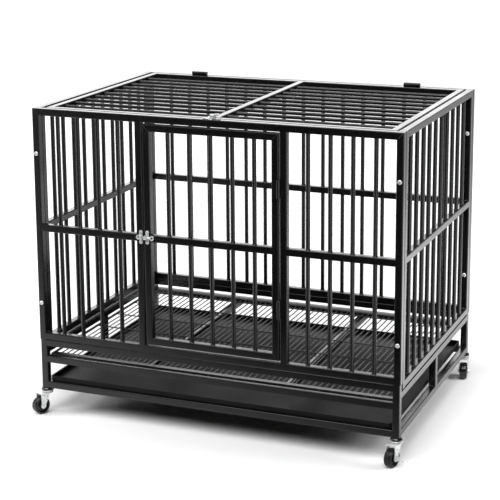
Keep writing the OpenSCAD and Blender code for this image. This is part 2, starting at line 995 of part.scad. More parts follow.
base_corner_posts();
base_front_rails();
base_rear_rails();
base_side_rails();
base_side_struts();
floor_bearers();
tray_runners();
floor_grid();
tray();
front_top_rail();
front_sill_rail();
front_left_grille();
front_right_grille();
rear_panel();
left_panel();
right_panel();
corner_bolts();
corner_nuts();
corner_pegs();
door();
door_hinge_knuckles();
door_hinge_pins();
door_hinge_sleeves();
door_keeper();
door_keeper_screws();
door_bolt_plate();
door_plate_screws();
door_bolt();
lid();
lid_stops();
lid_hinge_knuckles();
lid_hinge_pins();
lid_hinge_sleeves();
lid_keeper();
lid_keeper_screws();
lid_bolt_plate();
lid_plate_screws();
lid_bolt();
caster_caps();
front_left_stem();
front_left_fork();
front_left_axle();
front_left_wheel();
front_right_stem();
front_right_fork();
front_right_axle();
front_right_wheel();
rear_left_stem();
rear_left_fork();
rear_left_axle();
rear_left_wheel();
rear_right_stem();
rear_right_fork();
rear_right_axle();
rear_right_wheel();
front_right_brake_lever();
rear_left_brake_lever();
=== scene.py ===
"""Looks of a heavy duty dog crate: welded black tube, zinc fittings and swivel casters.

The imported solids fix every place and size. This script lays rounded tube, bar, wire and
sheet over them, finishes every surface, and sets up the studio and the camera.
"""

import json
import logging
import math
import random
from collections.abc import Iterable, Sequence
from dataclasses import dataclass
from enum import Enum

import bmesh
import bpy
from mathutils import Matrix, Vector


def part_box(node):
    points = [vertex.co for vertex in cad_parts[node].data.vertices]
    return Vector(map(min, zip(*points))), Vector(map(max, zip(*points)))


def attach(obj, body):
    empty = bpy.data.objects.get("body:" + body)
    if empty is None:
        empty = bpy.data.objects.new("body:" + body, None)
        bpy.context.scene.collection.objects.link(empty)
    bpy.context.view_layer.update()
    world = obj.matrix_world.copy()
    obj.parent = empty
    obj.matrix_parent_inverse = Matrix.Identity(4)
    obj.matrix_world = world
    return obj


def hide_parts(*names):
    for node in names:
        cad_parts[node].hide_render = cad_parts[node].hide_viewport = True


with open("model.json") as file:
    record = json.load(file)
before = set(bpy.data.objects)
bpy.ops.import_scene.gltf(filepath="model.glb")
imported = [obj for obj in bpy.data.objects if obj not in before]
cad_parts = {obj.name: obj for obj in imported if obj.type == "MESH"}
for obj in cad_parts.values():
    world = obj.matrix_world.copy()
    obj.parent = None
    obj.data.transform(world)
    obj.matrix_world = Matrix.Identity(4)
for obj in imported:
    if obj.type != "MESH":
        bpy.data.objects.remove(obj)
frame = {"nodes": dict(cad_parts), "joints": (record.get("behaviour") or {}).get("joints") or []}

LOG = logging.getLogger("dog_crate")
MM = 0.001
CRATE = "crate"
SIDES = (-1, 1)
WHITE = (1.0, 1.0, 1.0, 1.0)
UP = Vector((0.0, 0.0, 1.0))
NEARLY_UPRIGHT = 0.9

# Sides of a tube that have a weld at both ends
HIGH_SIDE = (1,)
LOW_SIDE = (-1,)
BOTH_SIDES = (1, -1)

# Slopes of the two ends of a mitred rail at the top or at the foot of a panel
TOP_MITRES = (-1.0, 1.0)
FOOT_MITRES = (1.0, -1.0)

Pair = tuple[float, float]
Triple = tuple[float, float, float]
Mesh = bmesh.types.BMesh
Tree = bpy.types.NodeTree
Socket = bpy.types.NodeSocket


class Axis(Enum):
    """Direction of a straight tube, with the two directions across it."""

    X = (0, 1, 2)
    Y = (1, 0, 2)
    Z = (2, 1, 0)


class Slot(Enum):
    """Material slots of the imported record."""

    STEEL = "black_powder_coat"
    WIRE = "wire_coat"
    TRAY = "tray_sheet"
    ZINC = "zinc_plate"
    CAP = "black_plastic"
    WHEEL = "wheel_tread"


def between(side: int, first: float, second: float) -> Pair:
    """Two distances from the middle as a rising pair, on the low (-1) or the high (1) side."""
    low, high = sorted((side * first, side * second))
    return low, high


@dataclass(frozen=True)
class BarRow:
    """Row of bars, with its first and last gap as a share of the gaps between the bars."""

    count: int
    end_share: float = 1.0

    def spots(self, start: float, end: float, diameter: float = 0.0) -> list[float]:
        """Centres of the bars between two faces.

        Args:
            start: The lower face.
            end: The upper face.
            diameter: The bars' diameter.

        Returns:
            The centres in rising order.
        """
        gap = (end - start - self.count * diameter) / (self.count - 1 + 2 * self.end_share)
        first = start + self.end_share * gap + diameter / 2
        return [first + i * (gap + diameter) for i in range(self.count)]


# Shader nodes


def feed(tree: Tree, value: object, target: Socket) -> None:
    """Give an input its value.

    Args:
        tree: The node tree.
        value: A socket to link, or a number or colour to set.
        target: The input.
    """
    if isinstance(value, Socket):
        tree.links.new(value, target)
    else:
        target.default_value = value


def add_node(tree: Tree, kind: str, inputs: dict[str | int, object], **settings: object) -> bpy.types.Node:
    """Add a shader node.

    Args:
        tree: The node tree.
        kind: The node's type, without the prefix that all shader nodes share.
        inputs: Sockets to link or values to set, by the input's name or number.
        settings: Properties to set on it first.

    Returns:
        The node.
    """
    made = tree.nodes.new(f"ShaderNode{kind}")
    for key, value in settings.items():
        setattr(made, key, value)
    for label, value in inputs.items():
        feed(tree, value, made.inputs[label])
    return made


def combine(tree: Tree, operation: str, first: object, second: object = 0.0) -> Socket:
    """Combine two sockets or numbers with a Math node."""
    return add_node(tree, "Math", {0: first, 1: second}, operation=operation).outputs["Value"]


def map_range(
    tree: Tree, source: Socket, start: Pair, end: Sequence[object] = (0.0, 1.0), easing: str = "LINEAR"
) -> Socket:
    """Carry a value from one range to another range of sockets or numbers."""
    inputs = dict(zip(("Value", "From Min", "From Max", "To Min", "To Max"), (source, *start, *end)))
    return add_node(tree, "MapRange", inputs, interpolation_type=easing).outputs["Result"]


def ramp(tree: Tree, place: Socket, way: Triple, span: Pair) -> Socket:
    """Smooth rise from 0 to 1 along a span of a direction, at the place that a socket gives."""
    ahead = add_node(tree, "VectorMath", {0: place, 1: way}, operation="DOT_PRODUCT")
    return map_range(tree, ahead.outputs["Value"], span, easing="SMOOTHSTEP")


class NodeGroup:
    """A shader node group that is built once and placed with its own values."""

    noise_span: Pair = (0.3, 0.7)

    def __init__(self, name: str, inputs: dict[str, float], outputs: Sequence[str]) -> None:
        """Make the empty group with its sockets.

        Args:
            name: The group's name.
            inputs: Inputs and their defaults.
            outputs: Names of the outputs.
        """
        self.tree = bpy.data.node_groups.new(name, "ShaderNodeTree")
        sockets = self.tree.interface
        for label, value in inputs.items():
            made = sockets.new_socket(label, in_out="INPUT", socket_type="NodeSocketFloat")
            made.default_value = value
        for label in outputs:
            sockets.new_socket(label, in_out="OUTPUT", socket_type="NodeSocketFloat")
        self.start = self.tree.nodes.new("NodeGroupInput")
        self.end = self.tree.nodes.new("NodeGroupOutput")

    def put_out(self, label: str, value: Socket) -> None:
        """Join a value to one of the outputs."""
        feed(self.tree, value, self.end.inputs[label])

    def noise(self, cells: float, octaves: float, squeeze: Triple | None = None) -> Socket:
        """Noise in the object's own coordinates.

        Args:
            cells: Cells to the metre.
            octaves: Layers of finer noise.
            squeeze: Scale of each direction, to draw the noise out into streaks.

        Returns:
            The noise's value socket.
        """
        source = add_node(self.tree, "TexCoord", {}).outputs["Object"]
        if squeeze is not None:
            mapping = add_node(self.tree, "Mapping", {"Scale": squeeze, "Vector": source})
            source = mapping.outputs["Vector"]
        inputs = {"Scale": cells, "Detail": octaves, "Vector": source}
        return add_node(self.tree, "TexNoise", inputs).outputs["Fac"]

    def spread(self, source: Socket, low: object = 0.0, high: object = 1.0) -> Socket:
        """Stretch noise round its middle to a range of sockets or numbers."""
        return map_range(self.tree, source, self.noise_span, (low, high))

    def spread_roughness(self, source: Socket) -> None:
        """Put out a roughness between the group's Smooth and Rough inputs."""
        ends = (self.start.outputs["Smooth"], self.start.outputs["Rough"])
        self.put_out("Roughness", self.spread(source, *ends))

    def blend(self, first: Socket, second: Socket, shares: Pair) -> Socket:
        """Sum of two values, each times its share."""
        parts = [combine(self.tree, "MULTIPLY", *part) for part in zip((first, second), shares)]
        return combine(self.tree, "ADD", *parts)


def coating_group() -> NodeGroup:
    """Orange peel, flow and handling marks of a baked coating.

    Returns:
        The group, with Height, Roughness and Shade outputs.
    """
    outputs = ("Height", "Roughness", "Shade")
    group = NodeGroup("coating_texture", {"Smooth": 0.35, "Rough": 0.5}, outputs)
    peel = group.noise(cells=620.0, octaves=2.0)
    flow = group.noise(cells=95.0, octaves=3.0)
    marks = group.noise(cells=9.0, octaves=5.0)
    group.put_out("Height", group.blend(peel, flow, shares=(0.75, 0.5)))
    group.spread_roughness(group.blend(marks, flow, shares=(0.7, 0.3)))
    group.put_out("Shade", group.spread(marks))
    return group


def dust_group() -> NodeGroup:
    """Fine dust that settles on faces that look up; on the wire it also stands for a painted highlight on
    the upper sides.

    Returns:
        The group, with a Mask output.
    """
    group = NodeGroup("settled_dust", {"Amount": 0.1}, ("Mask",))
    facing = add_node(group.tree, "NewGeometry", {}).outputs["Normal"]
    split = add_node(group.tree, "SeparateXYZ", {"Vector": facing})
    mask = combine(group.tree, "MAXIMUM", split.outputs["Z"], 0.0)
    patchy = group.spread(group.noise(cells=60.0, octaves=6.0), low=0.25)
    speck = group.spread(group.noise(cells=1400.0, octaves=1.0), low=0.4)
    for share in (patchy, speck, group.start.outputs["Amount"]):
        mask = combine(group.tree, "MULTIPLY", mask, share)
    group.put_out("Mask", mask)
    return group


def plating_group() -> NodeGroup:
    """Drawn grain and crystal cloud of zinc plate.

    Returns:
        The group, with Height, Roughness and Cloud outputs.
    """
    outputs = ("Height", "Roughness", "Cloud")
    group = NodeGroup("plating_grain", {"Smooth": 0.2, "Rough": 0.4}, outputs)
    grain = group.noise(cells=420.0, octaves=4.0, squeeze=(1.0, 1.0, 6.0))
    cloud = group.noise(cells=130.0, octaves=4.0)
    group.put_out("Height", group.blend(grain, cloud, shares=(0.7, 0.3)))
    group.spread_roughness(cloud)
    group.put_out("Cloud", group.spread(cloud))
    return group


# Finishes


class Finish:
    """A material under construction, with its Principled shader."""

    def __init__(self, name: str) -> None:
        """Start a node material.

        Args:
            name: The material's name.
        """
        self.material = bpy.data.materials.new(name)
        self.material.use_nodes = True
        self.tree = self.material.node_tree
        self.shader = self.tree.nodes["Principled BSDF"]

    def take(self, label: str, value: object) -> None:
        """Give one of the shader's inputs its socket, number or colour."""
        feed(self.tree, value, self.shader.inputs[label])

    def place(self, group: NodeGroup, **values: float) -> bpy.types.bpy_prop_collection:
        """Place a node group with its own values, and give its outputs."""
        return add_node(self.tree, "Group", values, node_tree=group.tree).outputs

    def bump(self, height: Socket, depth: float, strength: float) -> None:
        """Feed a relief, with its depth in metres, into the shader's normal."""
        inputs = {"Height": height, "Distance": depth, "Strength": strength}
        self.take("Normal", add_node(self.tree, "Bump", inputs).outputs["Normal"])

    def mix(self, mask: Socket, low: Triple | Socket, high: Triple | Socket) -> Socket:
        """Mix two colours by a mask.

        Args:
            mask: The mask's socket.
            low: The colour where the mask is 0.
            high: The colour where the mask is 1.

        Returns:
            The mixed colour's socket.
        """
        made = add_node(self.tree, "Mix", {"Factor": mask}, data_type="RGBA")
        for label, value in (("A", low), ("B", high)):
            socket = next(s for s in made.inputs if s.name == label and s.type == "RGBA")
            feed(self.tree, value if isinstance(value, Socket) else (*value, 1.0), socket)
        return next(s for s in made.outputs if s.type == "RGBA")


@dataclass(frozen=True)
class BakedCoat:
    """Baked black coating, on tube, wire or sheet."""

    name: str
    dark: Triple
    light: Triple
    dust: Triple = (0.42, 0.41, 0.39)
    smooth: float = 0.18
    rough: float = 0.28
    specular: float = 0.5
    coat: float = 0.0
    dust_amount: float = 0.012
    peel_depth: float = 0.12 * MM
    peel_strength: float = 0.16

    def build(self, coating: NodeGroup, dust: NodeGroup) -> bpy.types.Material:
        """Make the material.

        Args:
            coating: The coating's texture group.
            dust: The settled dust group.

        Returns:
            The material.
        """
        finish = Finish(self.name)
        finish.take("Specular IOR Level", self.specular)
        finish.take("Coat Weight", self.coat)
        finish.take("Coat Roughness", self.smooth / 2)
        texture = finish.place(coating, Smooth=self.smooth, Rough=self.rough)
        settled = finish.place(dust, Amount=self.dust_amount)
        clean = finish.mix(texture["Shade"], self.dark, self.light)
        finish.take("Base Color", finish.mix(settled["Mask"], clean, self.dust))
        finish.take("Roughness", texture["Roughness"])
        finish.bump(texture["Height"], self.peel_depth, self.peel_strength)
        return finish.material


@dataclass(frozen=True)
class MouldedBlack(BakedCoat):
    """Black moulded plastic, glossy or semi-matte."""

    dark: Triple = (0.003, 0.003, 0.0033)
    light: Triple = (0.006, 0.006, 0.0064)
    dust: Triple = (0.30, 0.29, 0.27)
    smooth: float = 0.12
    rough: float = 0.2
    peel_depth: float = 0.08 * MM
    peel_strength: float = 0.12


@dataclass(frozen=True)
class ZincPlate:
    """Bright zinc plate on pressed steel fittings."""

    name: str = "bright_zinc_plate"
    cool: Triple = (0.74, 0.755, 0.77)
    warm: Triple = (0.86, 0.86, 0.84)
    metallic: float = 0.5
    smooth: float = 0.2
    rough: float = 0.36
    grain_depth: float = 0.06 * MM
    grain_strength: float = 0.2

    def build(self, plating: NodeGroup) -> bpy.types.Material:
        """Make the material.

        Args:
            plating: The plating's grain group.

        Returns:
            The material.
        """
        finish = Finish(self.name)
        finish.take("Metallic", self.metallic)
        grain = finish.place(plating, Smooth=self.smooth, Rough=self.rough)
        finish.take("Base Color", finish.mix(grain["Cloud"], self.cool, self.warm))
        finish.take("Roughness", grain["Roughness"])
        finish.bump(grain["Height"], self.grain_depth, self.grain_strength)
        return finish.material


class FinishShop:
    """Every finish of the crate, built once and found by its slot."""

    def __init__(self) -> None:
        """Build the node groups and the materials."""
        coating, dust = coating_group(), dust_group()
        blacks = {
            Slot.STEEL: BakedCoat("black_tube_coat", (0.003, 0.003, 0.0031), (0.0055, 0.0055, 0.0057)),
            # The wire's dust, above the tube's, is partly real dust and partly a painted highlight on the
            # wires' upper sides.
            Slot.WIRE: BakedCoat(
                "black_wire_coat", (0.010, 0.010, 0.0105), (0.016, 0.016, 0.0165),
                smooth=0.26, rough=0.38, dust_amount=0.04,
            ),
            Slot.TRAY: BakedCoat(
                "black_sheet_coat", (0.003, 0.003, 0.0032), (0.006, 0.006, 0.0062),
                smooth=0.5, rough=0.62, specular=0.18, dust_amount=0.006,
            ),
            Slot.CAP: MouldedBlack("glossy_cap_plastic", coat=1.0, dust_amount=0.004),
            Slot.WHEEL: MouldedBlack("wheel_plastic", smooth=0.14, rough=0.24, dust_amount=0.006),
        }
        self.by_slot = {slot: black.build(coating, dust) for slot, black in blacks.items()}
        self.by_slot[Slot.ZINC] = ZincPlate().build(plating_group())


# Mesh helpers


def cross_directions(direction: Vector) -> tuple[Vector, Vector]:
    """Two directions square to a given one.

    Args:
        direction: The direction.

    Returns:
        Two unit vectors across it.
    """
    ahead = direction.normalized()
    helper = UP if abs(ahead.z) < NEARLY_UPRIGHT else Vector((0, 1, 0))
    side = helper.cross(ahead).normalized()
    return side, ahead.cross(side)


def spokes(axis: Vector, count: int) -> list[Vector]:
    """Unit vectors that go once round an axis in even steps."""
    (side, up), step = cross_directions(axis), 2 * math.pi / count
    return [side * math.cos(i * step) + up * math.sin(i * step) for i in range(count)]


def skin(bm: Mesh, rings: Sequence[Sequence[Vector]], cap: bool = False, loop: bool = False) -> None:
    """Skin a row of rings.

    Args:
        bm: The mesh to add to.
        rings: Rings with the same number of points.
        cap: Whether the first and last ring are closed with a face.
        loop: Whether the last ring joins the first.
    """
    made = [[bm.verts.new(point) for point in ring] for ring in rings]
    for low, high in zip(made, made[1:] + made[:1] if loop else made[1:]):
        for i in range(len(low)):
            j = (i + 1) % len(low)
            bm.faces.new((low[i], low[j], high[j], high[i]))
    if cap:
        bm.faces.new(made[0])
        bm.faces.new(made[-1])


def turn_profile(bm: Mesh, profile: Sequence[Pair], centre: Vector, axis: Vector, sides: int) -> None:
    """Turn a closed profile of radius and height round an axis, with height 0 at the centre."""
    ahead = axis.normalized()
    skin(bm, [[centre + out * r + ahead * h for r, h in profile] for out in spokes(axis, sides)], loop=True)


def arc(centre: Pair, radius: Pair | float, start: float, end: float, steps: int) -> list[Pair]:
    """Points on an arc.

    Args:
        centre: The arc's centre.
        radius: Its radius, or its two half axes where it is part of an ellipse.
        start: Its first angle in degrees.
        end: Its last angle in degrees.
        steps: Straight steps along it.

    Returns:
        The points in order.
    """
    wide, tall = radius if isinstance(radius, tuple) else (radius, radius)
    angles = [math.radians(start + (end - start) * i / steps) for i in range(steps + 1)]
    return [(centre[0] + wide * math.cos(a), centre[1] + tall * math.sin(a)) for a in angles]


# Stock: what the pieces are made of


@dataclass(frozen=True)
class TubeStock:
    """Square steel tube, flat bar or sheet with rounded corners."""

    corner: float = 2.8 * MM
    steps: int = 5
    most_corner_share: float = 0.9

    def section(self, half_u: float, half_v: float) -> list[Pair]:
        """Rounded outline of the tube.

        Args:
            half_u: Half the size along the first cross direction.
            half_v: Half the size along the second.

        Returns:
            The outline's points in order.
        """
        radius = min(self.corner, half_u * self.most_corner_share, half_v * self.most_corner_share)
        points = []
        for quarter, (side_u, side_v) in enumerate(((1, 1), (-1, 1), (-1, -1), (1, -1))):
            centre = (side_u * (half_u - radius), side_v * (half_v - radius))
            points += arc(centre, radius, 90 * quarter, 90 * (quarter + 1), self.steps)
        return points

    def lay(self, bm: Mesh, low: Vector, high: Vector, along: Axis, mitre: Pair = (0.0, 0.0)) -> None:
        """Lay a tube between two corners of its box.

        Args:
            bm: The mesh to add to.
            low: The box's lowest corner.
            high: The box's highest corner.
            along: The tube's direction.
            mitre: Slope of the low and of the high end across the tube, 0 for a square cut.
        """
        way, u, v = along.value
        centre, half = (low + high) / 2, (high - low) / 2
        rings = []
        for end, slope, inward in ((low, mitre[0], 1.0), (high, mitre[1], -1.0)):
            ring = []
            for across_u, across_v in self.section(half[u], half[v]):
                point = centre.copy()
                point[u] += across_u
                point[v] += across_v
                point[way] = end[way] + slope * across_v + inward * abs(slope) * half[v]
                ring.append(point)
            rings.append(ring)
        skin(bm, rings, cap=True)


@dataclass(frozen=True)
class BarStock:
    """Round steel bar or wire."""

    diameter: float
    sides: int = 20

    def lay(self, bm: Mesh, start: Vector, end: Vector) -> None:
        """Lay a bar from one end's centre to the other's."""
        around = [self.diameter / 2 * out for out in spokes(end - start, self.sides)]
        skin(bm, [[centre + out for out in around] for centre in (start, end)], cap=True)


@dataclass(frozen=True)
class WeldBead:
    """Small coated weld: a collar round a bar's end, or a run in the corner of two tubes."""

    size: float = 1.5 * MM
    sink: float = 0.5 * MM
    pitch: float = 2.0 * MM
    ripple: float = 0.2
    throat_share: float = 0.42
    climb_share: float = 1.15
    end_share: float = 0.5
    sides: int = 16
    least_steps: int = 4

    def collar(self, bm: Mesh, centre: Vector, normal: Vector, diameter: float, rng: random.Random) -> None:
        """Lay a weld round a bar where it meets a tube.

        Args:
            bm: The mesh to add to.
            centre: Where the bar's centre meets the tube.
            normal: The way the bar leaves the tube.
            diameter: The bar's diameter.
            rng: Source of the weld's unevenness.
        """
        radius = diameter / 2
        ahead = normal.normalized()
        rings = []
        for out in spokes(normal, self.sides):
            size = self.size * (1.0 + self.ripple * rng.uniform(-1.0, 1.0))
            throat = size * self.throat_share
            profile = (
                (radius - self.sink, -self.sink),
                (radius + size, -self.sink),
                (radius + throat, throat),
                (radius - self.sink, size * self.climb_share),
            )
            rings.append([centre + out * reach + ahead * rise for reach, rise in profile])
        skin(bm, rings, loop=True)

    def run(self, bm: Mesh, start: Vector, end: Vector, first: Vector, second: Vector) -> None:
        """Lay a rippled weld along an inner corner.

        Args:
            bm: The mesh to add to.
            start: One end of the corner's line.
            end: The other end.
            first: Out of the corner along one tube.
            second: Out of the corner along the other tube.
        """
        count = max(self.least_steps, round((end - start).length / self.pitch))
        rings = []
        for i in range(count + 1):
            size = self.size * (1.0 + self.ripple * (1 if i % 2 else -1))
            if i in (0, count):
                size *= self.end_share
            base = start.lerp(end, i / count) - (first + second) * self.sink
            steps = (
                Vector(),
                first * (size + self.sink),
                (first + second) * (size * self.throat_share + self.sink),
                second * (size + self.sink),
            )
            rings.append([base + step for step in steps])
        skin(bm, rings, cap=True)


def add_to_scene(thing: bpy.types.Object) -> None:
    """Put an object in the scene."""
    bpy.context.scene.collection.objects.link(thing)


class Bench:
    """Turns finished meshes into pieces that ride on the crate's bodies."""

    sharp = math.radians(38.0)
    flat = math.radians(1.0)
    same_spot = 0.002 * MM
    round_profile = 0.5

    def __init__(self, finishes: FinishShop) -> None:
        """Keep the finishes at hand."""
        self.finishes = finishes

    def piece(self, name: str, bm: Mesh, body: str, slot: Slot, node: str) -> None:
        """Finish a mesh as a piece.

        Args:
            name: The piece's name.
            bm: Its mesh, which is freed.
            body: The body that it rides on.
            slot: Its finish.
            node: The solid that it stands for.
        """
        bmesh.ops.recalc_face_normals(bm, faces=bm.faces)
        mesh = bpy.data.meshes.new(name)
        bm.to_mesh(mesh)
        bm.free()
        mesh.shade_smooth()
        mesh.set_sharp_from_angle(angle=self.sharp)
        mesh.materials.append(self.finishes.by_slot[slot])
        piece = bpy.data.objects.new(name, mesh)
        add_to_scene(piece)
        even = piece.modifiers.new("even_flats", "WEIGHTED_NORMAL")
        even.keep_sharp = True
        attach(piece, body)
        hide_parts(node)
        LOG.info("piece %s on %s, %d faces", name, body, len(mesh.polygons))

    def softened(self, node: str, body: str, slot: Slot, edge: float, steps: int = 2) -> None:
        """Copy a solid with its sharp edges broken, as the piece that stands for it.

        Args:
            node: The solid's node.
            body: The body that it rides on.
            slot: Its finish.
            edge: Width of the broken edge.
            steps: Steps across the broken edge.
        """
        bm = bmesh.new()
        bm.from_mesh(frame["nodes"][node].data)
        bmesh.ops.remove_doubles(bm, verts=bm.verts, dist=self.same_spot)
        bmesh.ops.dissolve_limit(bm, angle_limit=self.flat, verts=bm.verts, edges=bm.edges)
        sharp = [e for e in bm.edges if e.is_manifold and e.calc_face_angle() > self.sharp]
        bmesh.ops.bevel(
            bm, geom=sharp, offset=edge, offset_type="OFFSET", segments=steps,
            profile=self.round_profile, affect="EDGES", clamp_overlap=True,
        )
        self.piece(f"{node}_soft_edged", bm, body, slot, node)


# Sub-assemblies


@dataclass(frozen=True)
class CrateSizes:
    """Main sizes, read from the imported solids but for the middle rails' rise and the bars."""

    tube: float
    half_l: float
    half_w: float
    base_half: float
    ride_z: float
    seam_z: float
    side_z: float
    top_z: float
    jamb_x: float
    side_rail_z: float
    floor_rail_z: float
    floor_z: float
    mid_rail_rise: float = 328 * MM
    bar_d: float = 12 * MM

    @classmethod
    def from_frame(cls) -> "CrateSizes":
        """Read the sizes from the solids' boxes.

        Returns:
            The sizes.
        """
        top_low, top_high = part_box("front_top_rail")
        post_low, post_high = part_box("base_corner_posts")
        bearer_low, bearer_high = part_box("floor_bearers")
        tube = top_high.z - top_low.z
        return cls(
            tube=tube,
            half_l=top_high.x,
            half_w=-top_low.y,
            base_half=post_high.x,
            ride_z=post_low.z,
            seam_z=post_high.z,
            side_z=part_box("left_panel")[0].z,
            top_z=top_high.z,
            jamb_x=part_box("front_right_grille")[0].x,
            side_rail_z=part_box("base_side_rails")[1].z - tube,
            floor_rail_z=bearer_low.z,
            floor_z=bearer_high.z,
        )

    @property
    def inner_l(self) -> float:
        """Half the length between the corner posts."""
        return self.half_l - self.tube

    @property
    def inner_w(self) -> float:
        """Half the depth between the front and the rear tubes."""
        return self.half_w - self.tube

    @property
    def mid(self) -> Pair:
        """Underside and top of the middle rails."""
        return self.lying(self.seam_z + self.mid_rail_rise - self.tube / 2)

    @property
    def top(self) -> Pair:
        """Underside and top of the top rails."""
        return self.top_z - self.tube, self.top_z

    def lying(self, level: float) -> Pair:
        """Underside and top of a tube that lies at a level."""
        return level, level + self.tube

    def base_x(self, side: int) -> Pair:
        """Faces of the base's tubes at the left (-1) or the right (1)."""
        return between(side, self.base_half, self.base_half - self.tube)

    def cage_x(self, side: int) -> Pair:
        """Faces of the cage's tubes at the left (-1) or the right (1)."""
        return between(side, self.half_l, self.inner_l)

    def jamb(self, side: int) -> Pair:
        """Faces of the tube to the left (-1) or the right (1) of the doorway."""
        return between(side, self.jamb_x, self.jamb_x + self.tube)

    def end_y(self, end: int) -> Pair:
        """Faces of the tubes at the front (-1) or the rear (1)."""
        return between(end, self.half_w, self.inner_w)

    def base_top(self, end: int) -> float:
        """Top of the base: lower at the rear (1) than at the front (-1)."""
        return self.side_z if end > 0 else self.seam_z


class WeldedFrame:
    """Tubes, bars and welds that become one piece."""

    seam_w = 2.4 * MM
    seam_h = 0.5 * MM
    seam_crown_share = 0.4
    seam_inset_share = 1.5
    bar_sink = 1.0 * MM

    def __init__(self, sizes: CrateSizes, bench: Bench, seed: int, body: str = CRATE) -> None:
        """Start an empty frame.

        Args:
            sizes: The crate's sizes.
            bench: The bench that finishes it.
            seed: Seed of the welds' unevenness.
            body: The body that it rides on.
        """
        self.sizes = sizes
        self.bench = bench
        self.body = body
        self.bm = bmesh.new()
        self.tube_stock = TubeStock()
        self.bar_stock = BarStock(sizes.bar_d)
        self.weld = WeldBead()
        self.rng = random.Random(seed)

    def tube(
        self,
        x: Pair,
        y: Pair,
        z: Pair,
        along: Axis,
        mitre: Pair = (0.0, 0.0),
        welded: tuple[int, ...] = (),
        depth: Axis = Axis.Y,
    ) -> None:
        """Lay a tube, with welds where its ends butt against others.

        Args:
            x: Its faces along X.
            y: Its faces along Y.
            z: Its faces along Z.
            along: The tube's direction.
            mitre: Slopes of its two ends.
            welded: Sides of the tube that have a weld at both ends.
            depth: The direction square to the panel, along which the welds run.
        """
        low, high = (Vector(corner) for corner in zip(x, y, z))
        way, deep = along.value[0], depth.value[0]
        across = ({0, 1, 2} - {way, deep}).pop()
        margin = self.tube_stock.corner
        into = Vector()
        into[way] = margin if welded else 0.0
        self.tube_stock.lay(self.bm, low - into, high + into, along, mitre)
        for side in welded:
            for end, inward in ((low, 1.0), (high, -1.0)):
                start = end.copy()
                start[across] = (high if side > 0 else low)[across]
                stop = start.copy()
                start[deep], stop[deep] = low[deep] + margin, high[deep] - margin
                along_tube, away = Vector(), Vector()
                along_tube[way], away[across] = inward, side
                self.weld.run(self.bm, start, stop, along_tube, away)

    def seam(self, y: float, inner: Pair, outer: Pair, out: int) -> None:
        """Lay the low bead of a mitre, ground almost flat.

        Args:
            y: The face that it lies on.
            inner: The mitre's inner corner along X and Z.
            outer: Its outer corner.
            out: The way out of the face along Y, 1 or -1.
        """
        start, stop = (Vector((x, y, z)) for x, z in (inner, outer))
        ahead = (stop - start).normalized()
        margin = ahead * self.tube_stock.corner * self.seam_inset_share
        across = ahead.cross(Vector((0.0, 1.0, 0.0))) * self.seam_w / 2
        rise = Vector((0.0, out, 0.0))
        crown, sink = self.seam_crown_share, -self.weld.sink
        half = [(-1.0, sink), (-1.0, 0.0), (-crown, self.seam_h)]
        profile = half + [(-side, level) for side, level in reversed(half)]
        rings = [
            [point + across * side + rise * level for side, level in profile]
            for point in (start + margin, stop - margin)
        ]
        skin(self.bm, rings, cap=True)

    def bar(
        self, start: Triple, end: Triple, stops: Sequence[float], stock: BarStock | None = None
    ) -> None:
        """Lay a bar with a weld at each end and on both sides of every tube that it crosses.

        Args:
            start: One end, where the bar leaves its tube.
            end: The other end.
            stops: Distances from the start of the faces that the bar crosses, in pairs.
            stock: The bar's stock, the panels' when left out.
        """
        first, last = Vector(start), Vector(end)
        ahead = (last - first).normalized()
        stock = stock or self.bar_stock
        stock.lay(self.bm, first - ahead * self.bar_sink, last + ahead * self.bar_sink)
        faces = [(first, ahead), (last, -ahead)]
        for i, stop in enumerate(stops):
            faces.append((first + ahead * stop, ahead if i % 2 else -ahead))
        for centre, normal in faces:
            self.weld.collar(self.bm, centre, normal, stock.diameter, self.rng)

    def uprights(self, places: Iterable[Pair], low: float, high: float) -> None:
        """Lay upright bars that cross the middle rail.

        Args:
            places: The bars' places along X and Y.
            low: Top of the rail that they stand on.
            high: Underside of the rail above them.
        """
        crossed = [face - low for face in self.sizes.mid]
        for x, y in places:
            self.bar((x, y, low), (x, y, high), crossed)

    def done(self, name: str, node: str) -> None:
        """Hand the frame to the bench as the piece that stands for a solid."""
        self.bench.piece(name, self.bm, self.body, Slot.STEEL, node)


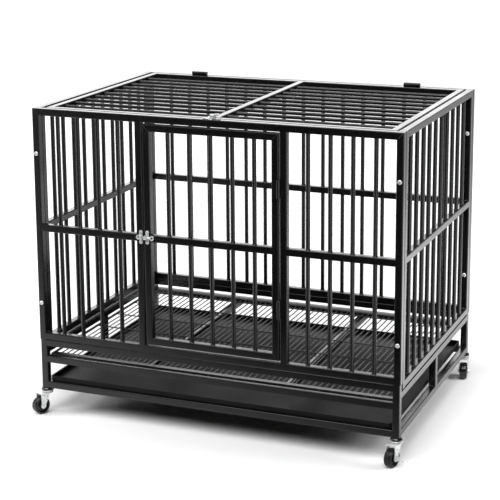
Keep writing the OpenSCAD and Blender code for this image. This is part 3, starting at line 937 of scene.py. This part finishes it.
@dataclass
class BaseFrame:
    """Welded base: posts, cross rails, side rails, struts, floor bearers and tray runners."""

    sizes: CrateSizes
    bench: Bench
    runner_edge: float = 0.8 * MM
    seed: int = 11

    def build(self) -> None:
        """Build every tube of the base."""
        self.posts()
        self.cross_rails("base_front_rails", -1)
        self.cross_rails("base_rear_rails", 1)
        self.side_rails()
        self.side_struts()
        self.bearers()
        self.bench.softened("tray_runners", CRATE, Slot.STEEL, self.runner_edge)

    def posts(self) -> None:
        """Corner posts, lower at the rear than at the front."""
        size = self.sizes
        made = WeldedFrame(size, self.bench, self.seed)
        for side in SIDES:
            for end in SIDES:
                made.tube(size.base_x(side), size.end_y(end), (size.ride_z, size.base_top(end)), Axis.Z)
        made.done("base_posts", "base_corner_posts")

    def cross_rails(self, node: str, end: int) -> None:
        """Three rails across the front or the rear.

        Args:
            node: The solid that they stand for.
            end: -1 for the front, 1 for the rear.
        """
        size = self.sizes
        made = WeldedFrame(size, self.bench, self.seed + end)
        reach = size.base_half - size.tube
        upper = size.base_top(end) - size.tube
        for level, welded in ((size.ride_z, HIGH_SIDE), (size.floor_rail_z, BOTH_SIDES), (upper, LOW_SIDE)):
            made.tube((-reach, reach), size.end_y(end), size.lying(level), Axis.X, welded=welded)
        made.done(f"{node}_tubes", node)

    def side_rails(self) -> None:
        """Lower and upper rail of each side."""
        size = self.sizes
        made = WeldedFrame(size, self.bench, self.seed + 2)
        long = (-size.inner_w, size.inner_w)
        for side in SIDES:
            for level, welded in ((size.ride_z, HIGH_SIDE), (size.side_rail_z, LOW_SIDE)):
                made.tube(size.base_x(side), long, size.lying(level), Axis.Y, welded=welded, depth=Axis.X)
        made.done("base_side_tubes", "base_side_rails")

    def side_struts(self) -> None:
        """Short upright in the middle of each side."""
        size = self.sizes
        made = WeldedFrame(size, self.bench, self.seed + 3)
        wide = (-size.tube / 2, size.tube / 2)
        tall = (size.ride_z + size.tube, size.side_rail_z)
        for side in SIDES:
            made.tube(size.base_x(side), wide, tall, Axis.Z, welded=BOTH_SIDES, depth=Axis.X)
        made.done("base_strut_tubes", "base_side_struts")

    def bearers(self) -> None:
        """Two tubes from front to rear under the wire floor."""
        size = self.sizes
        made = WeldedFrame(size, self.bench, self.seed + 4)
        long = (-size.inner_w, size.inner_w)
        tall = (size.floor_rail_z, size.floor_z)
        for side in SIDES:
            made.tube(size.jamb(side), long, tall, Axis.Y, welded=BOTH_SIDES, depth=Axis.Z)
        made.done("floor_bearer_tubes", "floor_bearers")


@dataclass
class CagePanels:
    """Front, rear and side panels of the cage."""

    sizes: CrateSizes
    bench: Bench
    front_row: BarRow = BarRow(4)
    rear_row: BarRow = BarRow(15, 1.13)
    side_row: BarRow = BarRow(10)
    seed: int = 31

    def build(self) -> None:
        """Build all four panels."""
        self.front_rails()
        self.front_grille("front_left_grille", -1)
        self.front_grille("front_right_grille", 1)
        self.rear()
        self.side("left_panel", -1)
        self.side("right_panel", 1)

    def mitred_top(self, made: WeldedFrame, end: int) -> None:
        """Top rail of the front (-1) or the rear (1)."""
        size = self.sizes
        made.tube((-size.half_l, size.half_l), size.end_y(end), size.top, Axis.X, mitre=TOP_MITRES)

    def top_seam(self, made: WeldedFrame, side: int, end: int) -> None:
        """Seam of a mitred top corner, at the left or right (side) of the front or rear (end)."""
        inner, outer = zip((side * self.sizes.inner_l, side * self.sizes.half_l), self.sizes.top)
        made.seam(end * self.sizes.half_w, inner, outer, end)

    def front_rails(self) -> None:
        """Mitred top rail and the sill of the front."""
        size = self.sizes
        top = WeldedFrame(size, self.bench, self.seed)
        self.mitred_top(top, -1)
        for side in SIDES:
            self.top_seam(top, side, -1)
        top.done("front_top_tube", "front_top_rail")
        sill = WeldedFrame(size, self.bench, self.seed + 1)
        wide = (-size.inner_l, size.inner_l)
        sill.tube(wide, size.end_y(-1), size.lying(size.seam_z), Axis.X, welded=HIGH_SIDE)
        sill.done("front_sill_tube", "front_sill_rail")

    def front_grille(self, node: str, side: int) -> None:
        """Post, jamb, middle rail and bars on one side of the doorway.

        Args:
            node: The solid that they stand for.
            side: -1 for the left, 1 for the right.
        """
        size = self.sizes
        made = WeldedFrame(size, self.bench, self.seed + 2 + side)
        deep = size.end_y(-1)
        low, high = size.seam_z + size.tube, size.top[0]
        rail = between(side, size.jamb_x + size.tube, size.inner_l)
        made.tube(size.cage_x(side), deep, (size.seam_z, size.top_z), Axis.Z, mitre=(0.0, side))
        made.tube(size.jamb(side), deep, (low, high), Axis.Z, welded=BOTH_SIDES)
        made.tube(rail, deep, size.mid, Axis.X, welded=BOTH_SIDES)
        xs = self.front_row.spots(*rail, size.bar_d)
        made.uprights([(x, sum(deep) / 2) for x in xs], low, high)
        made.done(f"{node}_tubes", node)

    def rear(self) -> None:
        """Rear panel over the whole width."""
        size = self.sizes
        made = WeldedFrame(size, self.bench, self.seed + 6)
        deep = size.end_y(1)
        wide = (-size.inner_l, size.inner_l)
        for side in SIDES:
            made.tube(size.cage_x(side), deep, (size.side_z, size.top_z), Axis.Z, mitre=(0.0, side))
            self.top_seam(made, side, 1)
        self.mitred_top(made, 1)
        made.tube(wide, deep, size.lying(size.side_z), Axis.X, welded=HIGH_SIDE)
        made.tube(wide, deep, size.mid, Axis.X, welded=BOTH_SIDES)
        xs = self.rear_row.spots(*wide, size.bar_d)
        made.uprights([(x, sum(deep) / 2) for x in xs], size.side_z + size.tube, size.top[0])
        made.done("rear_panel_tubes", "rear_panel")

    def side(self, node: str, side: int) -> None:
        """Panel at one end of the crate.

        Args:
            node: The solid that it stands for.
            side: -1 for the left, 1 for the right.
        """
        size = self.sizes
        made = WeldedFrame(size, self.bench, self.seed + 8 + side)
        thick = size.cage_x(side)
        inner = size.inner_w - size.tube
        for end in SIDES:
            made.tube(thick, between(end, inner, size.inner_w), (size.side_z, size.top_z), Axis.Z)
        foot = size.lying(size.side_z)
        for tall, welded in ((foot, HIGH_SIDE), (size.mid, BOTH_SIDES), (size.top, LOW_SIDE)):
            made.tube(thick, (-inner, inner), tall, Axis.Y, welded=welded, depth=Axis.X)
        ys = self.side_row.spots(-inner, inner, size.bar_d)
        made.uprights([(sum(thick) / 2, y) for y in ys], foot[1], size.top[0])
        made.done(f"{node}_tubes", node)


@dataclass
class CrateDoor:
    """Barred door in the front."""

    sizes: CrateSizes
    bench: Bench
    body: str = "door"
    row: BarRow = BarRow(5, 0.9)
    seed: int = 51

    def build(self) -> None:
        """Build the door's frame and bars."""
        size = self.sizes
        low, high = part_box("door")
        made = WeldedFrame(size, self.bench, self.seed, self.body)
        wide, deep, tall = zip(low, high)
        inner, foot, head = high.x - size.tube, low.z + size.tube, high.z - size.tube
        for side in SIDES:
            made.tube(between(side, high.x, inner), deep, tall, Axis.Z, mitre=(-side, side))
            for level, edge in ((foot, low.z), (head, high.z)):
                made.seam(low.y, (side * inner, level), (side * high.x, edge), -1)
        made.tube(wide, deep, (head, high.z), Axis.X, mitre=TOP_MITRES)
        made.tube(wide, deep, (low.z, foot), Axis.X, mitre=FOOT_MITRES)
        made.tube((-inner, inner), deep, size.mid, Axis.X, welded=BOTH_SIDES)
        xs = self.row.spots(-inner, inner, size.bar_d)
        made.uprights([(x, sum(deep) / 2) for x in xs], foot, head)
        made.done("door_frame", "door")


@dataclass
class CrateLid:
    """Barred lid that lies between the top rails."""

    sizes: CrateSizes
    bench: Bench
    body: str = "lid"
    row: BarRow = BarRow(10, 1.1)
    stock: BarStock = BarStock(10 * MM)
    stop_edge: float = 0.6 * MM
    seed: int = 61

    def build(self) -> None:
        """Build the lid's frame, middle bar and cross bars, and its stops."""
        size = self.sizes
        low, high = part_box("lid")
        made = WeldedFrame(size, self.bench, self.seed, self.body)
        _, deep, tall = zip(low, high)
        left, right, inner = low.x + size.tube, high.x - size.tube, high.y - size.tube
        for x in (low.x, right):
            made.tube((x, x + size.tube), deep, tall, Axis.Y)
        for side in SIDES:
            ends = between(side, high.y, inner)
            made.tube((left, right), ends, tall, Axis.X, welded=(-side,), depth=Axis.Z)
        middle, half = (left + right) / 2, size.tube / 2
        faces = (middle - half, middle + half)
        made.tube(faces, (-inner, inner), tall, Axis.Y, welded=BOTH_SIDES, depth=Axis.Z)
        level = sum(tall) / 2
        crossed = [face - left for face in faces]
        for y in self.row.spots(-inner, inner, self.stock.diameter):
            made.bar((left, y, level), (right, y, level), crossed, self.stock)
        made.done("lid_frame", "lid")
        self.bench.softened("lid_stops", CRATE, Slot.STEEL, self.stop_edge)


@dataclass
class WireFloor:
    """Welded wire floor with flat bars all round."""

    bench: Bench
    wire: BarStock = BarStock(3.4 * MM, 10)
    flat: TubeStock = TubeStock(0.8 * MM, 2)
    pitch: float = 17 * MM
    cross_pitch: float = 124 * MM
    cross_first: float = 128 * MM
    bar_t: float = 3.8 * MM
    front_w: float = 17 * MM
    rear_w: float = 37 * MM
    end_w: float = 8 * MM
    lap: float = 0.3 * MM
    into: float = 1 * MM

    def build(self) -> None:
        """Build the bars and wires as one welded mat."""
        low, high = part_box("floor_grid")
        bm = bmesh.new()
        top = low.z + self.bar_t
        inner = high.x - self.end_w
        near, far = low.y + self.front_w, high.y - self.rear_w
        for y_low, y_high in ((low.y, near), (far, high.y)):
            self.flat.lay(bm, Vector((low.x, y_low, low.z)), Vector((high.x, y_high, top)), Axis.X)
        for side in SIDES:
            x_low, x_high = between(side, high.x, inner)
            self.flat.lay(bm, Vector((x_low, near, low.z)), Vector((x_high, far, top)), Axis.Y)
        level = low.z + self.wire.diameter / 2
        wires = BarRow(math.floor(2 * inner / self.pitch) - 1)
        for x in wires.spots(-inner, inner):
            self.wire.lay(bm, Vector((x, near - self.into, level)), Vector((x, far + self.into, level)))
        level += self.wire.diameter - self.lap
        reach = inner + self.into
        y = near + self.cross_first
        while y < far:
            self.wire.lay(bm, Vector((-reach, y, level)), Vector((reach, y, level)))
            y += self.cross_pitch
        self.bench.piece("wire_floor", bm, CRATE, Slot.WIRE, "floor_grid")


@dataclass
class SlideTray:
    """Folded sheet tray with a hemmed rim."""

    bench: Bench
    body: str = "tray"
    sheet: float = 1.2 * MM
    corner: float = 7 * MM
    least_corner: float = 1 * MM
    fold: float = 1.8 * MM
    hem: float = 1.3 * MM
    hem_drop: float = 6 * MM
    hem_steps: int = 8
    steps: int = 5

    def loop(self, low: Vector, high: Vector, inset: float, z: float) -> list[Vector]:
        """Rounded outline of the tray at one level.

        Args:
            low: Lowest corner of the tray.
            high: Highest corner.
            inset: Distance inside the tray's outline.
            z: The level.

        Returns:
            The outline's points.
        """
        centre, half = (low + high) / 2, (high - low) / 2
        stock = TubeStock(max(self.corner - inset, self.least_corner), self.steps)
        outline = stock.section(half.x - inset, half.y - inset)
        return [Vector((centre.x + u, centre.y + v, z)) for u, v in outline]

    def build(self) -> None:
        """Build the tray from its outer underside, over the rim, to its floor."""
        low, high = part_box("tray")
        bm = bmesh.new()
        centre = (self.fold, low.z + self.fold)
        rim_z = high.z - self.hem
        hem_z = rim_z - self.hem_drop
        levels = [
            *arc(centre, self.fold, 270, 180, self.steps),
            *arc((self.hem, rim_z), self.hem, 180, 0, self.hem_steps),
            (self.hem * 2, hem_z),
            (self.sheet, hem_z - self.sheet),
            *arc(centre, self.fold - self.sheet, 180, 270, self.steps),
        ]
        skin(bm, [self.loop(low, high, inset, z) for inset, z in levels], cap=True)
        self.bench.piece("tray_sheet", bm, self.body, Slot.TRAY, "tray")


@dataclass
class Hinges:
    """Barrel hinges of the door and the lid."""

    bench: Bench
    edge: float = 0.7 * MM

    def build(self) -> None:
        """Break the edges of the barrels and the pins, and finish them."""
        for owner in ("door", "lid"):
            self.bench.softened(f"{owner}_hinge_knuckles", CRATE, Slot.STEEL, self.edge)
            self.bench.softened(f"{owner}_hinge_sleeves", owner, Slot.STEEL, self.edge)
            self.bench.softened(f"{owner}_hinge_pins", CRATE, Slot.ZINC, self.edge)


@dataclass
class SlideLatches:
    """Slide bolts of the door and the lid, with their keepers and screws."""

    bench: Bench
    plate_edge: float = 0.45 * MM
    bolt_edge: float = 0.9 * MM
    bolt_steps: int = 3
    screw_edge: float = 0.5 * MM

    def build(self) -> None:
        """Break the edges of every latch piece and plate it."""
        for owner in ("door", "lid"):
            for name, body, edge in (
                ("keeper", CRATE, self.plate_edge),
                ("keeper_screws", CRATE, self.screw_edge),
                ("bolt_plate", owner, self.plate_edge),
                ("plate_screws", owner, self.screw_edge),
            ):
                self.bench.softened(f"{owner}_{name}", body, Slot.ZINC, edge)
            bolt = f"{owner}_bolt"
            self.bench.softened(bolt, bolt, Slot.ZINC, self.bolt_edge, self.bolt_steps)


@dataclass
class CornerFasteners:
    """Bolts, nuts and pegs of the corners."""

    bench: Bench
    edge: float = 0.5 * MM

    def build(self) -> None:
        """Break the fasteners' edges and plate them."""
        for node in ("corner_bolts", "corner_nuts", "corner_pegs"):
            self.bench.softened(node, CRATE, Slot.ZINC, self.edge)


class Corner(Enum):
    """The crate's four casters."""

    FRONT_LEFT = "front_left"
    FRONT_RIGHT = "front_right"
    REAR_LEFT = "rear_left"
    REAR_RIGHT = "rear_right"


@dataclass
class Casters:
    """Swivel casters: cap, stem, fork, axle, wheel and brake lever."""

    bench: Bench
    joints: dict[str, dict]
    edge: float = 0.7 * MM
    lever_edge: float = 0.35 * MM
    cap_d: float = 33 * MM
    cap_top_d: float = 20 * MM
    cap_bore: float = 10.6 * MM
    cap_rim: float = 1.6 * MM
    cap_edge: float = 0.8 * MM
    cap_steps: int = 8
    cap_sides: int = 48
    wheel_w: float = 22 * MM
    wheel_sides: int = 64
    hub_w: float = 24.4 * MM
    hub_d: float = 20 * MM
    hub_round: float = 1 * MM
    bore_d: float = 6.12 * MM
    bore_edge: float = 0.4 * MM
    web_w: float = 11 * MM
    web_round: float = 1.5 * MM
    rim_t: float = 6 * MM
    rim_round: float = 0.8 * MM
    rim_lean_deg: float = 20
    shoulder: float = 4 * MM
    shoulder_end_deg: float = 12
    shoulder_steps: int = 6
    round_steps: int = 3
    tread_flat_share: float = 0.42
    mould_line: float = 0.5 * MM
    mould_line_depth: float = 0.25 * MM

    def build(self) -> None:
        """Build the caps and the four casters."""
        self.caps()
        for corner in Corner:
            name = corner.value
            body = f"{name}_caster"
            self.bench.softened(f"{name}_stem", CRATE, Slot.ZINC, self.edge)
            self.bench.softened(f"{name}_fork", body, Slot.ZINC, self.edge)
            self.bench.softened(f"{name}_axle", body, Slot.ZINC, self.edge)
            self.wheel(name)
            lever = f"{name}_brake_lever"
            if lever in frame["nodes"]:
                self.bench.softened(lever, f"{name}_brake", Slot.ZINC, self.lever_edge)

    def caps(self) -> None:
        """Domed dust caps under the four posts."""
        low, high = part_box("caster_caps")
        bm = bmesh.new()
        height = high.z - low.z
        reach, top, bore = self.cap_d / 2, self.cap_top_d / 2, self.cap_bore / 2
        dome = arc((top, self.cap_rim), (reach - top, height - self.cap_rim), 0, 90, self.cap_steps)
        profile = [(bore, 0.0), (reach - self.cap_edge, 0.0), (reach, self.cap_edge), *dome, (bore, height)]
        for corner in Corner:
            x, y, _ = self.joints[f"{corner.value}_swivel"]["pos_m"]
            turn_profile(bm, profile, Vector((x, y, low.z)), UP, self.cap_sides)
        self.bench.piece("caster_dust_caps", bm, CRATE, Slot.CAP, "caster_caps")

    def wheel_side(self, radius: float) -> list[Pair]:
        """Profile of one side of a wheel, from the bore to the middle of the tread.

        Args:
            radius: The wheel's radius.

        Returns:
            Radius and height of each point.
        """
        bore, hub_r, hub = self.bore_d / 2, self.hub_d / 2, self.hub_w / 2
        half, foot = self.wheel_w / 2, self.web_w / 2 + self.web_round
        rim_in = radius - self.rim_t
        rim_foot = (rim_in - 2 * self.web_round, foot)
        rim_edge = (rim_in + self.rim_round, half - self.rim_round)
        tread = (radius - self.shoulder, half - self.shoulder)
        steps, lean = self.round_steps, self.rim_lean_deg
        return [
            (bore, hub - self.bore_edge),
            (bore + self.bore_edge, hub),
            *arc((hub_r - self.hub_round, hub - self.hub_round), self.hub_round, 90, 0, steps),
            *arc((hub_r + self.web_round, foot), self.web_round, 180, 270, steps),
            *arc(rim_foot, self.web_round, 270, 360 - lean, steps),
            *arc(rim_edge, self.rim_round, 180 - lean, 90, steps),
            *arc(tread, self.shoulder, 90, self.shoulder_end_deg, self.shoulder_steps),
            (radius, half * self.tread_flat_share),
            (radius, self.mould_line),
            (radius - self.mould_line_depth, 0.0),
        ]

    def wheel(self, name: str) -> None:
        """Moulded wheel with a hub, a web and a rounded tread.

        Args:
            name: The caster's name.
        """
        wheel = f"{name}_wheel"
        joint = self.joints[f"{name}_roll"]
        low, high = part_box(wheel)
        side = self.wheel_side((high.z - low.z) / 2)
        profile = side + [(r, -h) for r, h in reversed(side[:-1])]
        bm = bmesh.new()
        turn_profile(bm, profile, Vector(joint["pos_m"]), Vector(joint["axis"]), self.wheel_sides)
        self.bench.piece(f"{name}_moulded_wheel", bm, wheel, Slot.WHEEL, wheel)


# Studio and camera


@dataclass(frozen=True)
class Lamp:
    """Soft box of the studio."""

    name: str
    place: Triple
    aim: Triple
    size: Pair
    power: float
    mirrored: bool = True

    def build(self) -> None:
        """Hang the lamp and turn it to its aim."""
        light = bpy.data.lights.new(self.name, "AREA")
        light.shape = "RECTANGLE"
        light.size, light.size_y = self.size
        light.energy = self.power
        lamp = bpy.data.objects.new(self.name, light)
        lamp.location = self.place
        ahead = Vector(self.aim) - Vector(self.place)
        lamp.rotation_euler = ahead.to_track_quat("-Z", "Y").to_euler()
        lamp.visible_camera = False
        lamp.visible_glossy = self.mirrored
        add_to_scene(lamp)
        LOG.info("lamp %s of %.0f W", self.name, self.power)


@dataclass(frozen=True)
class Studio:
    """White floor under a broad overhead light, with soft boxes behind and on both sides."""

    floor_half: float = 14.0
    floor_colour: Triple = (0.95, 0.95, 0.95)
    floor_rough: float = 0.9
    # Painted light: a glow that only the camera sees, from none at the crate's footprint to full strength
    # at the reach.
    camera_glow_strength: float = 0.35
    camera_glow_reach: float = 0.4
    # Painted reflection: share of the floor's colour that reflections see in front of the crate, a painted
    # dark patch.
    dark_reflection_shade: float = 0.02
    front_way: Triple = (0.5, -0.866, 0.0)
    front_span: Pair = (0.15, 1.1)
    side_way: Triple = (0.866, -0.5, 0.0)
    side_span: Pair = (-1.2, 0.3)
    sky_strength: float = 2.7
    sky_angle: float = 50.0
    sky_tilt: float = 30.0
    fill: float = 0.015
    dim_way: Triple = (-0.866, 0.5, 0.0)
    dim_span: Pair = (0.0, 0.45)
    dim_shade: float = 0.02
    # Painted reflection: a glow on the floor to the right of the crate that only reflections see.
    reflection_glow_strength: float = 1.2
    reflection_glow_side: Pair = (0.6, 0.8)
    reflection_glow_back: Pair = (1.2, 3.5)
    lamps: tuple[Lamp, ...] = (
        Lamp("right_box", (1.8, 0.2, 0.85), (0.55, -0.3, 0.0), (0.9, 0.6), 20.0, False),
        Lamp("left_box", (-1.9, -0.9, 0.85), (-0.55, -0.35, 0.0), (0.7, 0.5), 20.0, False),
        Lamp("back_box", (-1.6, 4.4, 1.9), (0.0, 0.0, 0.8), (5.0, 2.0), 55.0),
    )

    def build(self) -> None:
        """Build the surroundings, the floor and the lamps."""
        self.surroundings()
        self.sky()
        self.floor()
        for lamp in self.lamps:
            lamp.build()

    def sky(self) -> None:
        """Broad soft light from above."""
        light = bpy.data.lights.new("overhead_light", "SUN")
        light.energy = self.sky_strength
        light.angle = math.radians(self.sky_angle)
        lamp = bpy.data.objects.new("overhead_light", light)
        lamp.rotation_euler.x = math.radians(self.sky_tilt)
        add_to_scene(lamp)

    def surroundings(self) -> None:
        """White to the camera, white behind and dim in front in reflections, a faint fill elsewhere."""
        world = bpy.data.worlds.new("white_surroundings")
        bpy.context.scene.world = world
        world.use_nodes = True
        tree = world.node_tree
        background = tree.nodes["Background"]
        feed(tree, WHITE, background.inputs["Color"])
        ray = add_node(tree, "LightPath", {}).outputs
        way = add_node(tree, "TexCoord", {}).outputs["Generated"]
        shade = combine(tree, "MAXIMUM", ramp(tree, way, self.dim_way, self.dim_span), self.dim_shade)
        mirrored = combine(tree, "MULTIPLY", ray["Is Glossy Ray"], shade)
        clear = combine(tree, "MAXIMUM", ray["Is Camera Ray"], ray["Is Transmission Ray"])
        level = combine(tree, "MAXIMUM", combine(tree, "MAXIMUM", clear, mirrored), self.fill)
        feed(tree, level, background.inputs["Strength"])

    def clear_of_crate(self, tree: Tree, place: Socket) -> Socket:
        """How far a point of the floor lies outside the crate's footprint.

        Args:
            tree: The node tree.
            place: The point's socket.

        Returns:
            The distance's socket, 0 inside the footprint.
        """
        split = add_node(tree, "SeparateXYZ", {"Vector": place})
        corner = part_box("base_corner_posts")[1]
        beyond = []
        for label, edge in (("X", corner.x), ("Y", corner.y)):
            reach = combine(tree, "ABSOLUTE", split.outputs[label])
            out = combine(tree, "MAXIMUM", combine(tree, "SUBTRACT", reach, edge), 0.0)
            beyond.append(combine(tree, "POWER", out, 2.0))
        return combine(tree, "SQRT", combine(tree, "ADD", *beyond))

    def floor_finish(self) -> bpy.types.Material:
        """White floor with painted light: a painted glow for the camera that rises away from the crate, and
        in reflections a painted dark patch in front and a painted bright patch on the right.

        Returns:
            The material.
        """
        finish = Finish("studio_floor_white")
        tree = finish.tree
        spot = add_node(tree, "NewGeometry", {}).outputs["Position"]
        ray = add_node(tree, "LightPath", {}).outputs
        ahead = ramp(tree, spot, self.front_way, self.front_span)
        aside = ramp(tree, spot, self.side_way, self.side_span)
        # Painted dark reflection: the floor turns dark for reflections only, in front of the crate.
        dark_reflection = combine(tree, "MULTIPLY", ray["Is Glossy Ray"], combine(tree, "MULTIPLY", ahead, aside))
        dark_reflection_colour = tuple(c * self.dark_reflection_shade for c in self.floor_colour)
        # Painted glow for the camera: none at the crate and rising away from it, which lightens the floor
        # round the crate's shadow.
        away = self.clear_of_crate(tree, spot)
        reach, height = (0.0, self.camera_glow_reach), (0.0, self.camera_glow_strength)
        camera_glow = map_range(tree, away, reach, height, easing="SMOOTHSTEP")
        seen = combine(tree, "MULTIPLY", ray["Is Camera Ray"], camera_glow)
        # Painted bright reflection: the floor glows for reflections only, to the right of the crate, fading
        # out far behind it.
        beside = ramp(tree, spot, (1.0, 0.0, 0.0), self.reflection_glow_side)
        before = combine(tree, "SUBTRACT", 1.0, ramp(tree, spot, (0.0, 1.0, 0.0), self.reflection_glow_back))
        reflection_glow = combine(tree, "MULTIPLY", combine(tree, "MULTIPLY", beside, before), self.reflection_glow_strength)
        mirrored = combine(tree, "MULTIPLY", ray["Is Glossy Ray"], reflection_glow)
        finish.take("Base Color", finish.mix(dark_reflection, self.floor_colour, dark_reflection_colour))
        finish.take("Roughness", self.floor_rough)
        finish.take("Specular IOR Level", 0.0)
        finish.take("Emission Color", WHITE)
        finish.take("Emission Strength", combine(tree, "ADD", seen, mirrored))
        return finish.material

    def floor(self) -> None:
        """White floor that the crate's shadow falls on."""
        bm = bmesh.new()
        half = self.floor_half
        corners = ((-half, -half), (half, -half), (half, half), (-half, half))
        bm.faces.new([bm.verts.new((x, y, 0.0)) for x, y in corners])
        mesh = bpy.data.meshes.new("studio_floor")
        bm.to_mesh(mesh)
        bm.free()
        mesh.materials.append(self.floor_finish())
        floor = bpy.data.objects.new("studio_floor", mesh)
        add_to_scene(floor)


@dataclass(frozen=True)
class PhotoCamera:
    """Camera at the photograph's viewing angle."""

    place: Triple = (1.56428, -3.92713, 1.59483)
    azimuth: float = -22.331
    elevation: float = -11.8312
    roll: float = -0.4312
    focal_px: float = 1496.7
    middle_px: Pair = (245.0, 160.0)
    picture_px: float = 500.0
    sensor: float = 36.0

    def build(self) -> None:
        """Set up the camera and make it the scene's own."""
        az, el, roll = (math.radians(a) for a in (self.azimuth, self.elevation, self.roll))
        ahead = Vector((math.sin(az) * math.cos(el), math.cos(az) * math.cos(el), math.sin(el)))
        level = ahead.cross(UP).normalized()
        rise = level.cross(ahead)
        right = level * math.cos(roll) + rise * math.sin(roll)
        up = rise * math.cos(roll) - level * math.sin(roll)
        data = bpy.data.cameras.new("photo_camera")
        data.sensor_width = self.sensor
        data.lens = self.focal_px / self.picture_px * self.sensor
        data.shift_x = 0.5 - self.middle_px[0] / self.picture_px
        data.shift_y = self.middle_px[1] / self.picture_px - 0.5
        camera = bpy.data.objects.new("photo_camera", data)
        turned = Matrix((right, up, -ahead)).transposed().to_4x4()
        camera.matrix_world = Matrix.Translation(self.place) @ turned
        add_to_scene(camera)
        bpy.context.scene.camera = camera


def main() -> None:
    """Build the crate's pieces, the studio and the camera."""
    logging.basicConfig(level=logging.INFO, format="%(name)s: %(message)s")
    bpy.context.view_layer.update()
    bpy.context.scene.view_settings.view_transform = "Standard"
    PhotoCamera().build()
    sizes = CrateSizes.from_frame()
    bench = Bench(FinishShop())
    joints = {joint["name"]: joint for joint in frame["joints"]}
    for part in (
        BaseFrame(sizes, bench),
        CagePanels(sizes, bench),
        CrateDoor(sizes, bench),
        CrateLid(sizes, bench),
        WireFloor(bench),
        SlideTray(bench),
        Hinges(bench),
        SlideLatches(bench),
        CornerFasteners(bench),
        Casters(bench, joints),
        Studio(),
    ):
        part.build()


if __name__ == "__main__":
    main()
